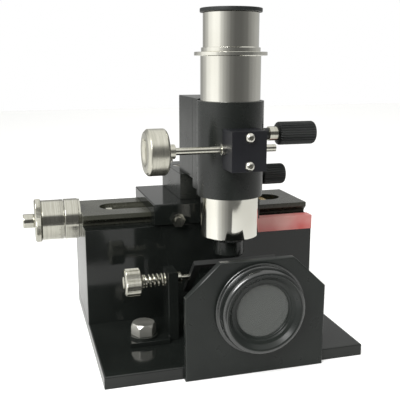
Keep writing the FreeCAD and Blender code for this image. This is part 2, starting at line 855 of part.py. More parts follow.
def rings_cell():
    centre = (D["column_centre_x"], tilt_y)
    cup_top = D["cell_height"]
    seat = 3.0
    glass_radius = D["cell_glass_dia"] / 2
    screw_circle = (D["cell_dia"] + D["cell_glass_dia"]) / 4
    spots = []
    for turn in range(3):
        angle = math.radians(90 + 120 * turn)
        across = centre[0] + screw_circle * math.cos(angle)
        spots.append((across, centre[1] + screw_circle * math.sin(angle)))
    cup = turned(
        [
            (0, 0),
            (D["cell_dia"] / 2 - 0.8, 0),
            (D["cell_dia"] / 2, 0.8),
            (D["cell_dia"] / 2, cup_top),
            (glass_radius + 0.1, cup_top),
            (glass_radius + 0.1, seat),
            (0, seat),
        ],
        (*centre, riser_low),
    )
    tap_low = riser_low + cup_top - 5.0
    taps = [rod(RING_SCREW, 5.0, (*spot, tap_low)) for spot in spots]
    node(cut(cup, *taps), "rings_cell_cup")
    glass_low = riser_low + seat
    node(rod(D["cell_glass_dia"], D["cell_glass_thick"], (*centre, glass_low)), "plane_glass")
    radius = DIMENSIONS["cell_glass_dia"] / 2
    sphere = DIMENSIONS["cell_lens_radius"]
    thick = DIMENSIONS["cell_lens_thick"]
    disc = Part.makeCylinder(radius, thick)
    lens = disc.common(Part.makeSphere(sphere, Vector(0, 0, sphere)))
    lens_low = DIMENSIONS["base_thick"] + seat + DIMENSIONS["cell_glass_thick"]
    lens_at = (DIMENSIONS["column_centre_x"], DIMENSIONS["tube_axis_y"], lens_low)
    node(feature(lens, lens_at), "rings_lens")
    ring_low = glass_low + D["cell_glass_thick"] + D["cell_lens_thick"]
    ring = rod(D["cell_dia"], D["clamp_ring_thick"], (*centre, ring_low))
    view = rod(D["cell_view_dia"], D["clamp_ring_thick"], (*centre, ring_low))
    holes = [rod(RING_SCREW + 0.4, D["clamp_ring_thick"], (*spot, ring_low)) for spot in spots]
    node(cut(ring, view, *holes), "cell_clamp_ring")
    head_seat = ring_low + D["clamp_ring_thick"]
    screws = [pan_screw(RING_SCREW, 7, (*spot, head_seat), UPRIGHT) for spot in spots]
    node(group(*screws), "cell_screws_m2")


# Micrometer and lead screw -----------------------------------------------------------------

def micrometer():
    sleeve_reach = -half_width - D["sleeve_left"]
    sleeve_start = (D["sleeve_left"], *screw_line)
    sleeve = rod(D["sleeve_dia"], sleeve_reach, sleeve_start, ALONG_X)
    bore = rod(bore_for(D["screw_dia"]), sleeve_reach, sleeve_start, ALONG_X)
    node(cut(sleeve, bore), "micrometer_sleeve")

    bearing_thick = 4.0
    bearing_low = deck_low - 4.0
    bearing_high = D["screw_axis_z"] + D["screw_dia"] / 2 + 1.8
    bearing = box(
        (bearing_left, D["bed_centre_y"] - D["slot_width"] / 2, bearing_low),
        (bearing_thick, D["slot_width"], bearing_high - bearing_low),
    )
    bearing_start = (bearing_left, *screw_line)
    bearing_bore = rod(bore_for(D["journal_dia"]), bearing_thick, bearing_start, ALONG_X)
    node(cut(bearing, bearing_bore), "screw_end_bearing")

    screw_start = (D["grip_left"], *screw_line)
    screw = rod(D["screw_dia"], bearing_left - 0.4 - D["grip_left"], screw_start, ALONG_X)
    journal = rod(D["journal_dia"], 5.6, (bearing_left - 0.6, *screw_line), ALONG_X)
    collar = rod(D["screw_dia"] + 5, 4.0, (D["slot_left"] + 4.0, *screw_line), ALONG_X)
    node(fuse(screw, journal, collar), "lead_screw")

    drum_start = (D["drum_left"], *screw_line)
    drum_reach = D["sleeve_left"] - D["drum_gap"] - D["drum_left"]
    drum = rod(D["drum_dia"], drum_reach, drum_start, ALONG_X)
    drum_bore = rod(D["screw_dia"], drum_reach, drum_start, ALONG_X)
    node(cut(drum, drum_bore), "micrometer_drum")
    grip_reach = D["drum_left"] - D["grip_left"]
    grip = turned(
        [
            (D["screw_dia"] / 2, 0),
            (D["spindle_dia"] / 2, 0),
            (D["grip_dia"] / 2 - 0.8, 0),
            (D["grip_dia"] / 2, 0.8),
            (D["grip_dia"] / 2, grip_reach - 0.8),
            (D["grip_dia"] / 2 - 0.8, grip_reach),
            (D["screw_dia"] / 2, grip_reach),
        ],
        (D["grip_left"], *screw_line),
        ALONG_X,
    )
    spindle_reach = D["grip_left"] - D["spindle_left"]
    spindle = rod(D["spindle_dia"], spindle_reach, (D["spindle_left"], *screw_line), ALONG_X)
    node(fuse(grip, spindle), "drum_grip")


# Carriage ----------------------------------------------------------------------------------

def carriage():
    gap = D["slide_gap"]
    centre = D["bed_centre_y"]
    bed_top = D["riser_top_z"] + D["bed_height"]
    lip = bed_top - D["bed_lip"] - gap
    foot = lip - D["bed_undercut"]
    back_lip = centre + D["bed_width"] / 2 + gap
    back_foot = centre + D["bed_foot_width"] / 2 + gap
    front_lip = centre - D["bed_width"] / 2 - gap
    front_foot = centre - D["bed_foot_width"] / 2 - gap
    skirt = D["saddle_skirt_z"]
    ceiling = bed_top + gap
    length = D["saddle_right"] - D["saddle_left"]
    section = [
        (D["saddle_front"], skirt),
        (D["gib_front"], skirt),
        (D["gib_front"], ceiling),
        (back_lip, ceiling),
        (back_lip, lip),
        (back_foot, foot),
        (back_foot, skirt),
        (D["saddle_back"], skirt),
        (D["saddle_back"], D["saddle_top_z"]),
        (D["saddle_front"], D["saddle_top_z"]),
    ]
    blank = prism(section, length, (D["saddle_left"], 0, 0), PROFILE_YZ)
    top = D["saddle_top_z"].value
    break_edges(blank, D["edge_break"], lambda b: b.YMin > top - 0.1)
    screw_x = [D["gib_screw_left"] + D["gib_screw_pitch"] * k for k in range(2)]
    wall = D["gib_front"] - D["saddle_front"]
    screw_seats = [(x, D["saddle_front"], D["gib_screw_z"]) for x in screw_x]
    taps = [rod(D["gib_screw_size"], wall, seat, ALONG_Y) for seat in screw_seats]
    taps += [rod(BLOCK_SCREW, 8, (x, BLOCK_SCREW_Y, ceiling - 1)) for x in block_screw_x]
    node(cut(blank, *taps), "carriage_saddle")

    strip = [
        (D["gib_front"] + gap, skirt),
        (front_foot, skirt),
        (front_foot, foot),
        (front_lip, lip),
        (front_lip, ceiling - 2 * gap),
        (D["gib_front"] + gap, ceiling - 2 * gap),
    ]
    node(prism(strip, length - 1, (D["saddle_left"] + 0.5, 0, 0), PROFILE_YZ), "gib_strip")

    screws = []
    for seat in screw_seats:
        head = hexagon(D["gib_head_flats"], D["gib_head_height"], seat, AGAINST_Y)
        shank = rod(D["gib_screw_size"] - 0.1, wall, seat, ALONG_Y)
        nib = rod(D["gib_screw_size"] - 0.6, D["gib_head_height"] + 1.6, seat, AGAINST_Y)
        screws.append(fuse(head, shank, nib))
    node(group(*screws), "gib_screws")

    nut_left, nut_length, nut_width = -6.0, 16.0, 17.2
    nut_low = deck_low - 3.0
    nut = box(
        (nut_left, centre - nut_width / 2, nut_low),
        (nut_length, nut_width, ceiling - nut_low),
    )
    nut_bore = rod(bore_for(D["screw_dia"]), nut_length, (nut_left, *screw_line), ALONG_X)
    node(cut(nut, nut_bore), "leadscrew_nut")


def column_block():
    left = D["column_centre_x"] - D["block_width"] / 2
    low = D["saddle_top_z"]
    height = D["block_top_z"] - low
    depth = D["block_back"] - D["block_front"]
    blank = box((left, D["block_front"], low), (D["block_width"], depth, height))
    seats = [(x, BLOCK_SCREW_Y, D["block_top_z"] - BLOCK_SCREW_SINK) for x in block_screw_x]
    holes = [rod(9.6, BLOCK_SCREW_SINK, seat) for seat in seats]
    holes += [rod(BLOCK_SCREW + 0.5, height, (x, BLOCK_SCREW_Y, low)) for x in block_screw_x]
    lock_reach = 14
    lock_start = (left + D["block_width"] - lock_reach, D["lock_axis_y"], D["lock_axis_z"])
    holes.append(rod(bore_for(LOCK_STEM), lock_reach, lock_start, ALONG_X))
    node(cut(blank, *holes), "column_block")
    screws = [cap_screw(BLOCK_SCREW, 16.5, seat, UPRIGHT) for seat in seats]
    node(group(*screws), "block_screws_m5")


def column():
    left = D["column_centre_x"] - D["column_width"] / 2
    low = D["block_top_z"]
    height = D["column_top_z"] - low
    depth = D["column_back"] - D["column_front"]
    blank = box((left, D["column_front"], low), (D["column_width"], depth, height))
    gap = D["slide_gap"]
    channel = prism(key_section(gap), height, (0, 0, low))
    rack_room = box(
        (D["column_centre_x"] - D["rack_width"] / 2 - 0.4, D["column_front"], low),
        (D["rack_width"] + 0.8, D["key_depth"] + 4.6, height),
    )
    axis = (height_axis_y, D["height_axis_z"])
    room_left = D["column_centre_x"] - PINION_ROOM / 2
    face_x = left + D["column_width"]
    bush_start = (room_left + PINION_ROOM, *axis)
    bush_reach = face_x - bush_start[0]
    shaft_bore = bore_for(D["height_shaft"])
    tools = [
        channel,
        rack_room,
        rod(BUSH_DIA, PINION_ROOM, (room_left, *axis), ALONG_X),
        rod(BUSH_DIA, bush_reach, bush_start, ALONG_X),
        rod(shaft_bore, D["column_width"] / 2 - TAIL_WALL, (left + TAIL_WALL, *axis), ALONG_X),
    ]
    node(cut(blank, *tools), "column")

    flange_thick = 2.0
    body = rod(BUSH_DIA, bush_reach, bush_start, ALONG_X)
    flange = rod(BUSH_DIA + 4, flange_thick, (face_x, *axis), ALONG_X)
    bore = rod(shaft_bore, bush_reach + flange_thick, bush_start, ALONG_X)
    node(cut(fuse(body, flange), bore), "height_bush")


def key_section(gap):
    """The dovetail key on the back of the slide, or its channel with a gap all round."""
    centre = D["column_centre_x"]
    mouth = D["key_mouth"] / 2 + gap
    root = D["key_root"] / 2 + gap
    front = D["column_front"] - gap
    back = D["column_front"] + D["key_depth"] + gap
    return [
        (centre - mouth, front),
        (centre + mouth, front),
        (centre + root, back),
        (centre - root, back),
    ]


# Vertical slide ----------------------------------------------------------------------------

def vertical_slide():
    gap = D["slide_gap"]
    centre = D["column_centre_x"]
    left = centre - D["column_width"] / 2
    low = D["slide_low_z"]
    height = D["column_top_z"] - low
    plate_back = D["column_front"] - gap
    plate_depth = plate_back - D["slide_front"]
    plate = box((left, D["slide_front"], low), (D["column_width"], plate_depth, height))
    key = prism(
        [
            (centre - D["key_mouth"] / 2, plate_back - 0.5),
            (centre - D["key_mouth"] / 2, D["column_front"]),
            (centre - D["key_root"] / 2, D["column_front"] + D["key_depth"]),
            (centre + D["key_root"] / 2, D["column_front"] + D["key_depth"]),
            (centre + D["key_mouth"] / 2, D["column_front"]),
            (centre + D["key_mouth"] / 2, plate_back - 0.5),
        ],
        D["column_top_z"] - D["block_top_z"] - 1,
        (0, 0, D["block_top_z"] + 1),
    )
    saddle_cut = rod(D["barrel_outer"], height, (centre, D["tube_axis_y"], low))
    node(cut(fuse(plate, key), saddle_cut), "slide_plate")

    module = DIMENSIONS["height_module"]
    width = DIMENSIONS["rack_width"]
    rack = rack_shape(module, *HEIGHT_RACK_TEETH, HEIGHT_ADDENDUM, RACK_BACK, width)
    rack_at = (centre.value - width / 2, height_pitch_y.value, DIMENSIONS["height_axis_z"])
    node(feature(rack, rack_at, PROFILE_YZ), "height_rack")

    barrel_height = D["barrel_high_z"] - D["barrel_low_z"]
    barrel_start = (centre, D["tube_axis_y"], D["barrel_low_z"])
    barrel_front = D["tube_axis_y"] - D["barrel_outer"] / 2
    window_width = D["pinion_width"] + 5
    window = box(
        (centre - window_width / 2, barrel_front - 1, D["focus_axis_z"] - FOCUS_ROOM / 2),
        (window_width, 4.0, FOCUS_ROOM),
    )
    screw_holes = [
        rod(PANEL_SCREW, 6, (centre, barrel_front - 1, z), ALONG_Y) for z in pinion_screw_z
    ]
    barrel = cut(
        rod(D["barrel_outer"], barrel_height, barrel_start),
        rod(D["barrel_bore"], barrel_height, barrel_start),
        window,
        *screw_holes,
    )
    node(barrel, "barrel")

    block_low = D["focus_axis_z"] - D["pinion_block_height"] / 2
    block_left = centre - D["pinion_block_width"] / 2
    block_depth = 19
    block = box(
        (block_left, D["block_face_y"], block_low),
        (D["pinion_block_width"], block_depth, D["pinion_block_height"]),
    )
    axis = (focus_axis_y, D["focus_axis_z"])
    room_width = D["pinion_width"] + 1.4
    screw_seats = [(centre, D["block_face_y"], z) for z in pinion_screw_z]
    tools = [
        rod(D["barrel_outer"], D["pinion_block_height"], (centre, D["tube_axis_y"], block_low)),
        rod(bore_for(D["focus_shaft"]), D["pinion_block_width"], (block_left, *axis), ALONG_X),
        rod(FOCUS_ROOM, room_width, (centre - room_width / 2, *axis), ALONG_X),
        *[rod(PANEL_SCREW, block_depth, seat, ALONG_Y) for seat in screw_seats],
    ]
    node(cut(block, *tools), "pinion_block")
    screws = [cap_screw(PANEL_SCREW, 15.3, seat, AGAINST_Y) for seat in screw_seats]
    node(group(*screws), "pinion_block_screws")


def height_drive():
    centre = DIMENSIONS["column_centre_x"]
    axis = (height_axis_y, D["height_axis_z"])
    width = DIMENSIONS["pinion_width"]
    teeth = int(DIMENSIONS["height_teeth"])
    # The blank's local x points down here, so the rack's side, -Y, is at -90 degrees.
    pinion = pinion_shape(DIMENSIONS["height_module"], teeth, width, -math.pi / 2)
    gear_at = (centre - width / 2, height_axis_y.value, DIMENSIONS["height_axis_z"])
    gear = feature(pinion, gear_at, ALONG_X)
    tail_left = D["column_centre_x"] - D["column_width"] / 2 + TAIL_WALL + 0.5
    collar_left = D["height_collar_left"]
    collar_reach = D["height_knob_left"] - collar_left
    shaft = rod(D["height_shaft"], collar_left + 3.0 - tail_left, (tail_left, *axis), ALONG_X)
    collar = rod(D["height_collar_dia"], collar_reach, (collar_left, *axis), ALONG_X)
    spacer_reach = D["height_spacer_reach"]
    spacer_at = (collar_left - spacer_reach, *axis)
    spacer = rod(D["height_spacer_dia"], spacer_reach, spacer_at, ALONG_X)
    node(fuse(gear, shaft, collar, spacer), "height_pinion_shaft")
    knob = hand_knob(D["height_knob_dia"], D["height_knob_left"], D["height_knob_right"], axis)
    node(knob, "height_knob")


def lock_drive():
    axis = (D["lock_axis_y"], D["lock_axis_z"])
    tip = D["column_centre_x"] + D["block_width"] / 2 - 12
    stem = rod(LOCK_STEM, D["lock_knob_left"] - tip, (tip, *axis), ALONG_X)
    grip = hand_knob(D["lock_knob_dia"], D["lock_knob_left"], D["lock_knob_right"], axis)
    node(fuse(stem, grip), "lock_thumb_screw")


def hand_knob(diameter, left, right, axis):
    reach = right - left
    corner = 1.6
    return turned(
        [
            (0, 0),
            (diameter / 2 - corner, 0),
            (diameter / 2, corner),
            (diameter / 2, reach - corner),
            (diameter / 2 - corner, reach),
            (0, reach),
        ],
        (left, *axis),
        ALONG_X,
    )


# Focusing tube, focus drive and eyepiece ---------------------------------------------------

def focusing_tube():
    centre = (D["column_centre_x"], D["tube_axis_y"])
    reach = D["tube_high_z"] - D["tube_low_z"]
    start = (*centre, D["tube_low_z"])
    teeth_below, teeth_above = FOCUS_RACK_TEETH
    tooth_pitch = math.pi * DIMENSIONS["focus_module"]
    rack_low = D["focus_axis_z"] - teeth_below * tooth_pitch
    rack_height = (teeth_below + teeth_above) * tooth_pitch
    rack_slot = box(
        (centre[0] - D["rack_width"] / 2, D["tube_axis_y"] - D["tube_outer"] / 2 - 1, rack_low),
        (D["rack_width"], 5, rack_height),
    )
    flange = rod(D["flange_outer"], D["flange_thick"], (*centre, D["tube_high_z"]))
    blank = fuse(rod(D["tube_outer"], reach, start), flange)
    bore = rod(D["tube_bore"], reach + D["flange_thick"], start)
    node(cut(blank, bore, rack_slot), "focusing_tube")

    width = DIMENSIONS["rack_width"]
    rack = rack_shape(DIMENSIONS["focus_module"], *FOCUS_RACK_TEETH, FOCUS_ADDENDUM, 2.4, width)
    # The teeth face -Y: local x to -Y, local y to Z, local z to -X.
    facing = Rotation(Vector(0, 0, 1), 180).multiply(PROFILE_YZ)
    rack_at = (centre[0].value + width / 2, focus_pitch_y.value, DIMENSIONS["focus_axis_z"])
    node(feature(rack, rack_at, facing), "focus_rack")

    nose = turned(
        [
            (D["objective_outer"] / 2 - 2, 0),
            (D["tube_bore"] / 2, 0),
            (D["tube_bore"] / 2, D["nose_height"]),
            (D["objective_outer"] / 2 - 2, D["nose_height"]),
        ],
        start,
    )
    node(nose, "nosepiece")

    low = D["objective_low_z"]
    reach = D["tube_low_z"] - low
    objective = turned(
        [
            (D["objective_bore"] / 2, 0),
            (D["objective_outer"] / 2 - 1, 0),
            (D["objective_outer"] / 2, 1),
            (D["objective_outer"] / 2, reach),
            (D["objective_outer"] / 2 - 2.05, reach),
            (D["objective_outer"] / 2 - 2.05, reach + D["nose_height"]),
            (D["objective_bore"] / 2, reach + D["nose_height"]),
        ],
        (*centre, low),
    )
    node(objective, "objective")
    node(rod(D["objective_bore"], 3.0, (*centre, low + 1.2)), "objective_lens")


def focus_drive():
    axis = (focus_axis_y, D["focus_axis_z"])
    centre = DIMENSIONS["column_centre_x"]
    width = DIMENSIONS["pinion_width"]
    teeth = int(DIMENSIONS["focus_teeth"])
    pinion = pinion_shape(DIMENSIONS["focus_module"], teeth, width, math.pi / 2)
    gear_at = (centre - width / 2, focus_axis_y.value, DIMENSIONS["focus_axis_z"])
    gear = feature(pinion, gear_at, ALONG_X)
    shaft_left = D["focus_knob_right"] - 4
    shaft_reach = D["focus_shaft_right"] - shaft_left
    shaft = rod(D["focus_shaft"], shaft_reach, (shaft_left, *axis), ALONG_X)
    node(fuse(gear, shaft), "focus_pinion_shaft")
    collar_reach = D["focus_collar_right"] - D["focus_knob_right"]
    hub = rod(D["focus_collar_dia"], collar_reach, (D["focus_knob_right"], *axis), ALONG_X)
    hub_bore = rod(D["focus_shaft"], collar_reach, (D["focus_knob_right"], *axis), ALONG_X)
    reach = D["focus_knob_right"] - D["focus_knob_left"]
    knob = turned(
        [
            (0, 1.6),
            (6.0, 1.6),
            (7.6, 0),
            (D["focus_knob_dia"] / 2 - 1, 0),
            (D["focus_knob_dia"] / 2, 1),
            (D["focus_knob_dia"] / 2, reach - 1),
            (D["focus_knob_dia"] / 2 - 1, reach),
            (D["focus_shaft"] / 2, reach),
            (D["focus_shaft"] / 2, reach - 4),
            (0, reach - 4),
        ],
        (D["focus_knob_left"], *axis),
        ALONG_X,
    )
    node(fuse(knob, cut(hub, hub_bore)), "focus_knob")


def eyepiece():
    centre = (D["column_centre_x"], D["tube_axis_y"])
    low = D["eyepiece_low_z"]
    bead_low = D["tube_high_z"] + D["flange_thick"]
    bead = bead_low - low
    high = D["eyepiece_high_z"] - low
    outer, inner = D["eyepiece_outer"] / 2, D["eyepiece_bore"] / 2
    node(
        turned(
            [
                (inner, 0),
                (outer, 0),
                (outer, bead),
                (D["bead_outer"] / 2, bead),
                (D["bead_outer"] / 2, bead + D["bead_height"] - 0.7),
                (D["bead_outer"] / 2 - 0.7, bead + D["bead_height"]),
                (outer, bead + D["bead_height"]),
                (outer, high),
                (inner, high),
            ],
            (*centre, low),
        ),
        "eyepiece_barrel",
    )
    cap = turned(
        [
            (D["eye_hole"] / 2, -3.0),
            (inner - 0.05, -3.0),
            (inner - 0.05, 0),
            (D["cap_outer"] / 2, 0),
            (D["cap_outer"] / 2, D["cap_height"] - 0.6),
            (D["cap_outer"] / 2 - 0.6, D["cap_height"]),
            (D["eye_hole"] / 2 + 3.5, D["cap_height"]),
            (D["eye_hole"] / 2, D["cap_height"] - 1.4),
        ],
        (*centre, D["eyepiece_high_z"]),
    )
    node(cap, "eyepiece_cap")
    eye_lens = rod(D["eyepiece_bore"] - 0.1, 3.6, (*centre, D["eyepiece_high_z"] - 8.0))
    field_lens = rod(D["eyepiece_bore"] - 0.1, 4.0, (*centre, low + 2.0))
    node(group(eye_lens, field_lens), "eyepiece_lenses")
    wire_start = (*centre, low + 16.0)
    ring = rod(D["eyepiece_bore"] - 0.1, 1.2, wire_start)
    opening = rod(D["eyepiece_bore"] - 8, 1.2, wire_start)
    reach = D["eyepiece_bore"] - 7
    across = box((centre[0] - reach / 2, centre[1] - 0.1, low + 16.5), (reach, 0.2, 0.2))
    along = box((centre[0] - 0.1, centre[1] - reach / 2, low + 16.5), (0.2, reach, 0.2))
    node(fuse(cut(ring, opening), across, along), "cross_wire_ring")


for build in (
    base_plate,
    riser_panels,
    riser_deck,
    dovetail_bed,
    riser_screws,
    front_label,
    lens_plate,
    plate_angle,
    pan_screws,
    condenser,
    post,
    clamp_bolt,
    tilting_glass,
    rings_cell,
    micrometer,
    carriage,
    column_block,
    column,
    vertical_slide,
    height_drive,
    lock_drive,
    focusing_tube,
    focus_drive,
    eyepiece,
):
    build()

doc.recompute()

for obj in doc.Objects:
    if "Invalid" in obj.State or "Error" in obj.State:
        raise RuntimeError(f"{obj.Label} ({obj.Name}) did not compute: {obj.State}")
for obj in nodes:
    if obj.Shape.isNull() or not obj.Shape.isValid():
        raise RuntimeError(f"{obj.Label} has no valid shape")

os.makedirs("parts", exist_ok=True)
for obj in nodes:
    obj.Shape.exportStep(os.path.join("parts", f"{obj.Label}.step"))
print(len(nodes), "nodes written")
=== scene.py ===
"""Travelling microscope on a Newton's rings bench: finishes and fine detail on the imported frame.

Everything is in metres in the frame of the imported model. Places and sizes are read from the
boxes of its nodes, and lengths written here are in millimetres times MM.
"""

import json
import math

import bmesh
import bpy
from mathutils import Matrix, Vector


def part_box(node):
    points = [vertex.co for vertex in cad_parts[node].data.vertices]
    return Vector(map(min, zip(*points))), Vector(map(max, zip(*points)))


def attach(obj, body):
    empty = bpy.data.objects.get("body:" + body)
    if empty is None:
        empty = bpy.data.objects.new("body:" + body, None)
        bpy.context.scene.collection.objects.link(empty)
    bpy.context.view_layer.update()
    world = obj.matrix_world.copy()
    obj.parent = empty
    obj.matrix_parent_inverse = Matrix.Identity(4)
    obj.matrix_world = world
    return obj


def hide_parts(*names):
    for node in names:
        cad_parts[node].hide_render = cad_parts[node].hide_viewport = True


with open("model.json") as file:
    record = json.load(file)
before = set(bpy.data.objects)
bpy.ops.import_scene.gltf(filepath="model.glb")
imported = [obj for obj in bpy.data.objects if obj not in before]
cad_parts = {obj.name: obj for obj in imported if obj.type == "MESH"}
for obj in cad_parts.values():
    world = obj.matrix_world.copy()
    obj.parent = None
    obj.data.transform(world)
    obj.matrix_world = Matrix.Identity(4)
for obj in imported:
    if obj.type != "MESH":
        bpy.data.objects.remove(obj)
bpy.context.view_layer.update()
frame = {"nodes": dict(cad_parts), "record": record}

MM = 0.001
AXES = "xyz"


# Materials ----------------------------------------------------------------------------------

def shader(name, colour, roughness, metallic=0.0):
    """A material with one Principled shader; returns the material, its nodes and the shader."""
    material = bpy.data.materials.new(name)
    material.use_nodes = True
    tree = material.node_tree
    principled = tree.nodes["Principled BSDF"]
    principled.inputs["Base Color"].default_value = (*colour, 1.0)
    principled.inputs["Roughness"].default_value = roughness
    principled.inputs["Metallic"].default_value = metallic
    return material, tree, principled


def object_point(tree, stretch=(1, 1, 1)):
    """Object coordinates, stretched along each axis."""
    coordinates = tree.nodes.new("ShaderNodeTexCoord")
    mapping = tree.nodes.new("ShaderNodeMapping")
    mapping.inputs["Scale"].default_value = stretch
    tree.links.new(coordinates.outputs["Object"], mapping.inputs["Vector"])
    return mapping.outputs["Vector"]


def noise(tree, scale, detail=3.0, stretch=(1, 1, 1)):
    """Noise in object space, from 0 to 1; scale counts its cells to the metre."""
    texture = tree.nodes.new("ShaderNodeTexNoise")
    texture.inputs["Scale"].default_value = scale
    texture.inputs["Detail"].default_value = detail
    tree.links.new(object_point(tree, stretch), texture.inputs["Vector"])
    return texture.outputs["Fac"]


def spread(tree, factor, low, high, start=0.3, end=0.7):
    """A noise factor mapped to the range from low to high."""
    remap = tree.nodes.new("ShaderNodeMapRange")
    for socket, value in zip(("From Min", "From Max", "To Min", "To Max"), (start, end, low, high)):
        remap.inputs[socket].default_value = value
    tree.links.new(factor, remap.inputs["Value"])
    return remap.outputs["Result"]


def blend_colours(tree, factor, first, second):
    """Two tones in patches that follow a noise factor."""
    ramp = tree.nodes.new("ShaderNodeValToRGB")
    ramp.color_ramp.elements[0].color = (*first, 1.0)
    ramp.color_ramp.elements[1].color = (*second, 1.0)
    ramp.color_ramp.elements[0].position = 0.35
    ramp.color_ramp.elements[1].position = 0.65
    tree.links.new(factor, ramp.inputs["Fac"])
    return ramp.outputs["Color"]


def bump(tree, principled, height, distance):
    node = tree.nodes.new("ShaderNodeBump")
    node.inputs["Distance"].default_value = distance
    tree.links.new(height, node.inputs["Height"])
    tree.links.new(node.outputs["Normal"], principled.inputs["Normal"])


def enamel(name, dark, light, rough_low, rough_high, peel):
    """Sprayed paint: a faint orange peel, cloudy gloss and a slight change of tone."""
    material, tree, principled = shader(name, dark, rough_high)
    colour = blend_colours(tree, noise(tree, 38), dark, light)
    tree.links.new(colour, principled.inputs["Base Color"])
    gloss = spread(tree, noise(tree, 95, 5), rough_low, rough_high)
    tree.links.new(gloss, principled.inputs["Roughness"])
    bump(tree, principled, noise(tree, 650, 2), peel)
    return material


def lacquer(material, ior):
    """The material with its reflection made weaker or stronger than that of common paint."""
    material.node_tree.nodes["Principled BSDF"].inputs["IOR"].default_value = ior
    return material


def turned_metal(name, dark, light, rough_low, rough_high, axis, groove):
    """Machined metal: fine rings square to the axis that it was turned on."""
    material, tree, principled = shader(name, light, rough_high, metallic=1.0)
    stretch = [24.0 if letter == axis else 1.0 for letter in AXES]
    rings = noise(tree, 240, 4, stretch)
    colour = blend_colours(tree, noise(tree, 60, 4, stretch), dark, light)
    tree.links.new(colour, principled.inputs["Base Color"])
    tree.links.new(spread(tree, rings, rough_low, rough_high), principled.inputs["Roughness"])
    bump(tree, principled, rings, groove)
    return material


def plated(name, dark, light, rough_low, rough_high):
    """Bright plating with a faint cloudiness and a very slight waviness."""
    material, tree, principled = shader(name, light, rough_high, metallic=1.0)
    colour = blend_colours(tree, noise(tree, 30), dark, light)
    tree.links.new(colour, principled.inputs["Base Color"])
    gloss = spread(tree, noise(tree, 160, 5), rough_low, rough_high)
    tree.links.new(gloss, principled.inputs["Roughness"])
    bump(tree, principled, noise(tree, 45, 2), 0.02 * MM)
    return material


def glass(name, tint, roughness, transmission):
    """Glass; what isn't transmitted is scattered back in the tint's colour."""
    material, tree, principled = shader(name, tint, roughness)
    principled.inputs["Transmission Weight"].default_value = transmission
    principled.inputs["IOR"].default_value = 1.5
    gloss = spread(tree, noise(tree, 120, 5), roughness * 0.5, roughness)
    tree.links.new(gloss, principled.inputs["Roughness"])
    return material


# Each paint has its dark tone, its light tone, its lowest and highest roughness and its peel.
GLOSS = enamel(
    "gloss_black_enamel", (0.009, 0.0105, 0.0095), (0.013, 0.015, 0.0135), 0.07, 0.13, 0.006 * MM
)
SEMI = enamel(
    "semi_gloss_enamel", (0.011, 0.013, 0.011), (0.015, 0.017, 0.015), 0.20, 0.28, 0.008 * MM
)
# The bed's lighter olive tone is painted reflection and painted light: a lighter copy of the gloss
# black enamel, standing for the warm reflection on its front face and the light in its shaded
# undercut.
BED = enamel("bed_enamel", (0.044, 0.045, 0.033), (0.056, 0.057, 0.043), 0.24, 0.32, 0.008 * MM)
SATIN = enamel(
    "satin_black_enamel", (0.011, 0.013, 0.0115), (0.016, 0.0185, 0.0165), 0.24, 0.31, 0.010 * MM
)
PLATE = lacquer(
    enamel(
        "lens_plate_enamel", (0.010, 0.0125, 0.011), (0.015, 0.018, 0.016), 0.26, 0.34, 0.010 * MM
    ),
    1.42,
)
BEZEL = lacquer(
    enamel(
        "lens_cell_enamel", (0.009, 0.011, 0.010), (0.014, 0.016, 0.0145), 0.18, 0.26, 0.006 * MM
    ),
    1.90,
)
NAVY = enamel(
    "pinion_block_enamel", (0.004, 0.0045, 0.007), (0.006, 0.0065, 0.010), 0.40, 0.48, 0.008 * MM
)
DULL = enamel(
    "dull_black_enamel", (0.007, 0.008, 0.0075), (0.011, 0.012, 0.011), 0.50, 0.60, 0.008 * MM
)
# The red's lighter mottled tone stands partly for the label's white lettering, which is left out,
# and partly for glare on it: painted highlight.
RED = enamel("red_enamel", (0.78, 0.16, 0.15), (0.92, 0.46, 0.42), 0.30, 0.45, 0.020 * MM)
KNOB = enamel(
    "black_knob_plastic", (0.012, 0.014, 0.0135), (0.020, 0.0225, 0.0215), 0.36, 0.48, 0.010 * MM
)
INK = enamel("engraving_ink", (0.010, 0.010, 0.010), (0.018, 0.018, 0.018), 0.50, 0.60, 0.002 * MM)

# Each metal has its dark tone, its light tone and its lowest and highest roughness, and a turned
# one has its axis and the depth of its rings.
CHROME = plated("chrome_plate", (0.78, 0.765, 0.69), (0.86, 0.85, 0.78), 0.05, 0.10)
NICKEL = plated("plated_fastener", (0.62, 0.61, 0.55), (0.74, 0.73, 0.66), 0.14, 0.24)
ROUGH_NICKEL = plated("clamp_bolt_nickel", (0.72, 0.71, 0.65), (0.84, 0.83, 0.77), 0.36, 0.48)
SPRING = plated("spring_steel", (0.52, 0.51, 0.44), (0.66, 0.65, 0.57), 0.16, 0.26)
STEEL = turned_metal(
    "bright_steel", (0.50, 0.49, 0.425), (0.62, 0.61, 0.54), 0.12, 0.20, "x", 0.006 * MM
)
SATIN_STEEL = turned_metal(
    "satin_steel", (0.54, 0.53, 0.455), (0.66, 0.645, 0.565), 0.26, 0.36, "x", 0.008 * MM
)
BRASS = turned_metal(
    "machined_brass", (0.60, 0.44, 0.18), (0.74, 0.57, 0.27), 0.22, 0.34, "z", 0.010 * MM
)

GLASS = glass("optical_glass", (0.93, 0.96, 0.95), 0.03, 1.0)
# The condenser is drawn as a flat grey disc: half of it scatters back a grey tint, which is painted
# reflection, standing for what clear glass reflects and lets through.
LENS_GLASS = glass("condenser_glass", (0.15, 0.16, 0.15), 0.12, 0.5)


# Mesh helpers -------------------------------------------------------------------------------

def settle(piece, material, body, replaced=()):
    """Give a piece its material, its body and the CAD nodes that it stands for."""
    piece.data.materials.clear()
    piece.data.materials.append(material)
    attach(piece, body)
    if replaced:
        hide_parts(*replaced)


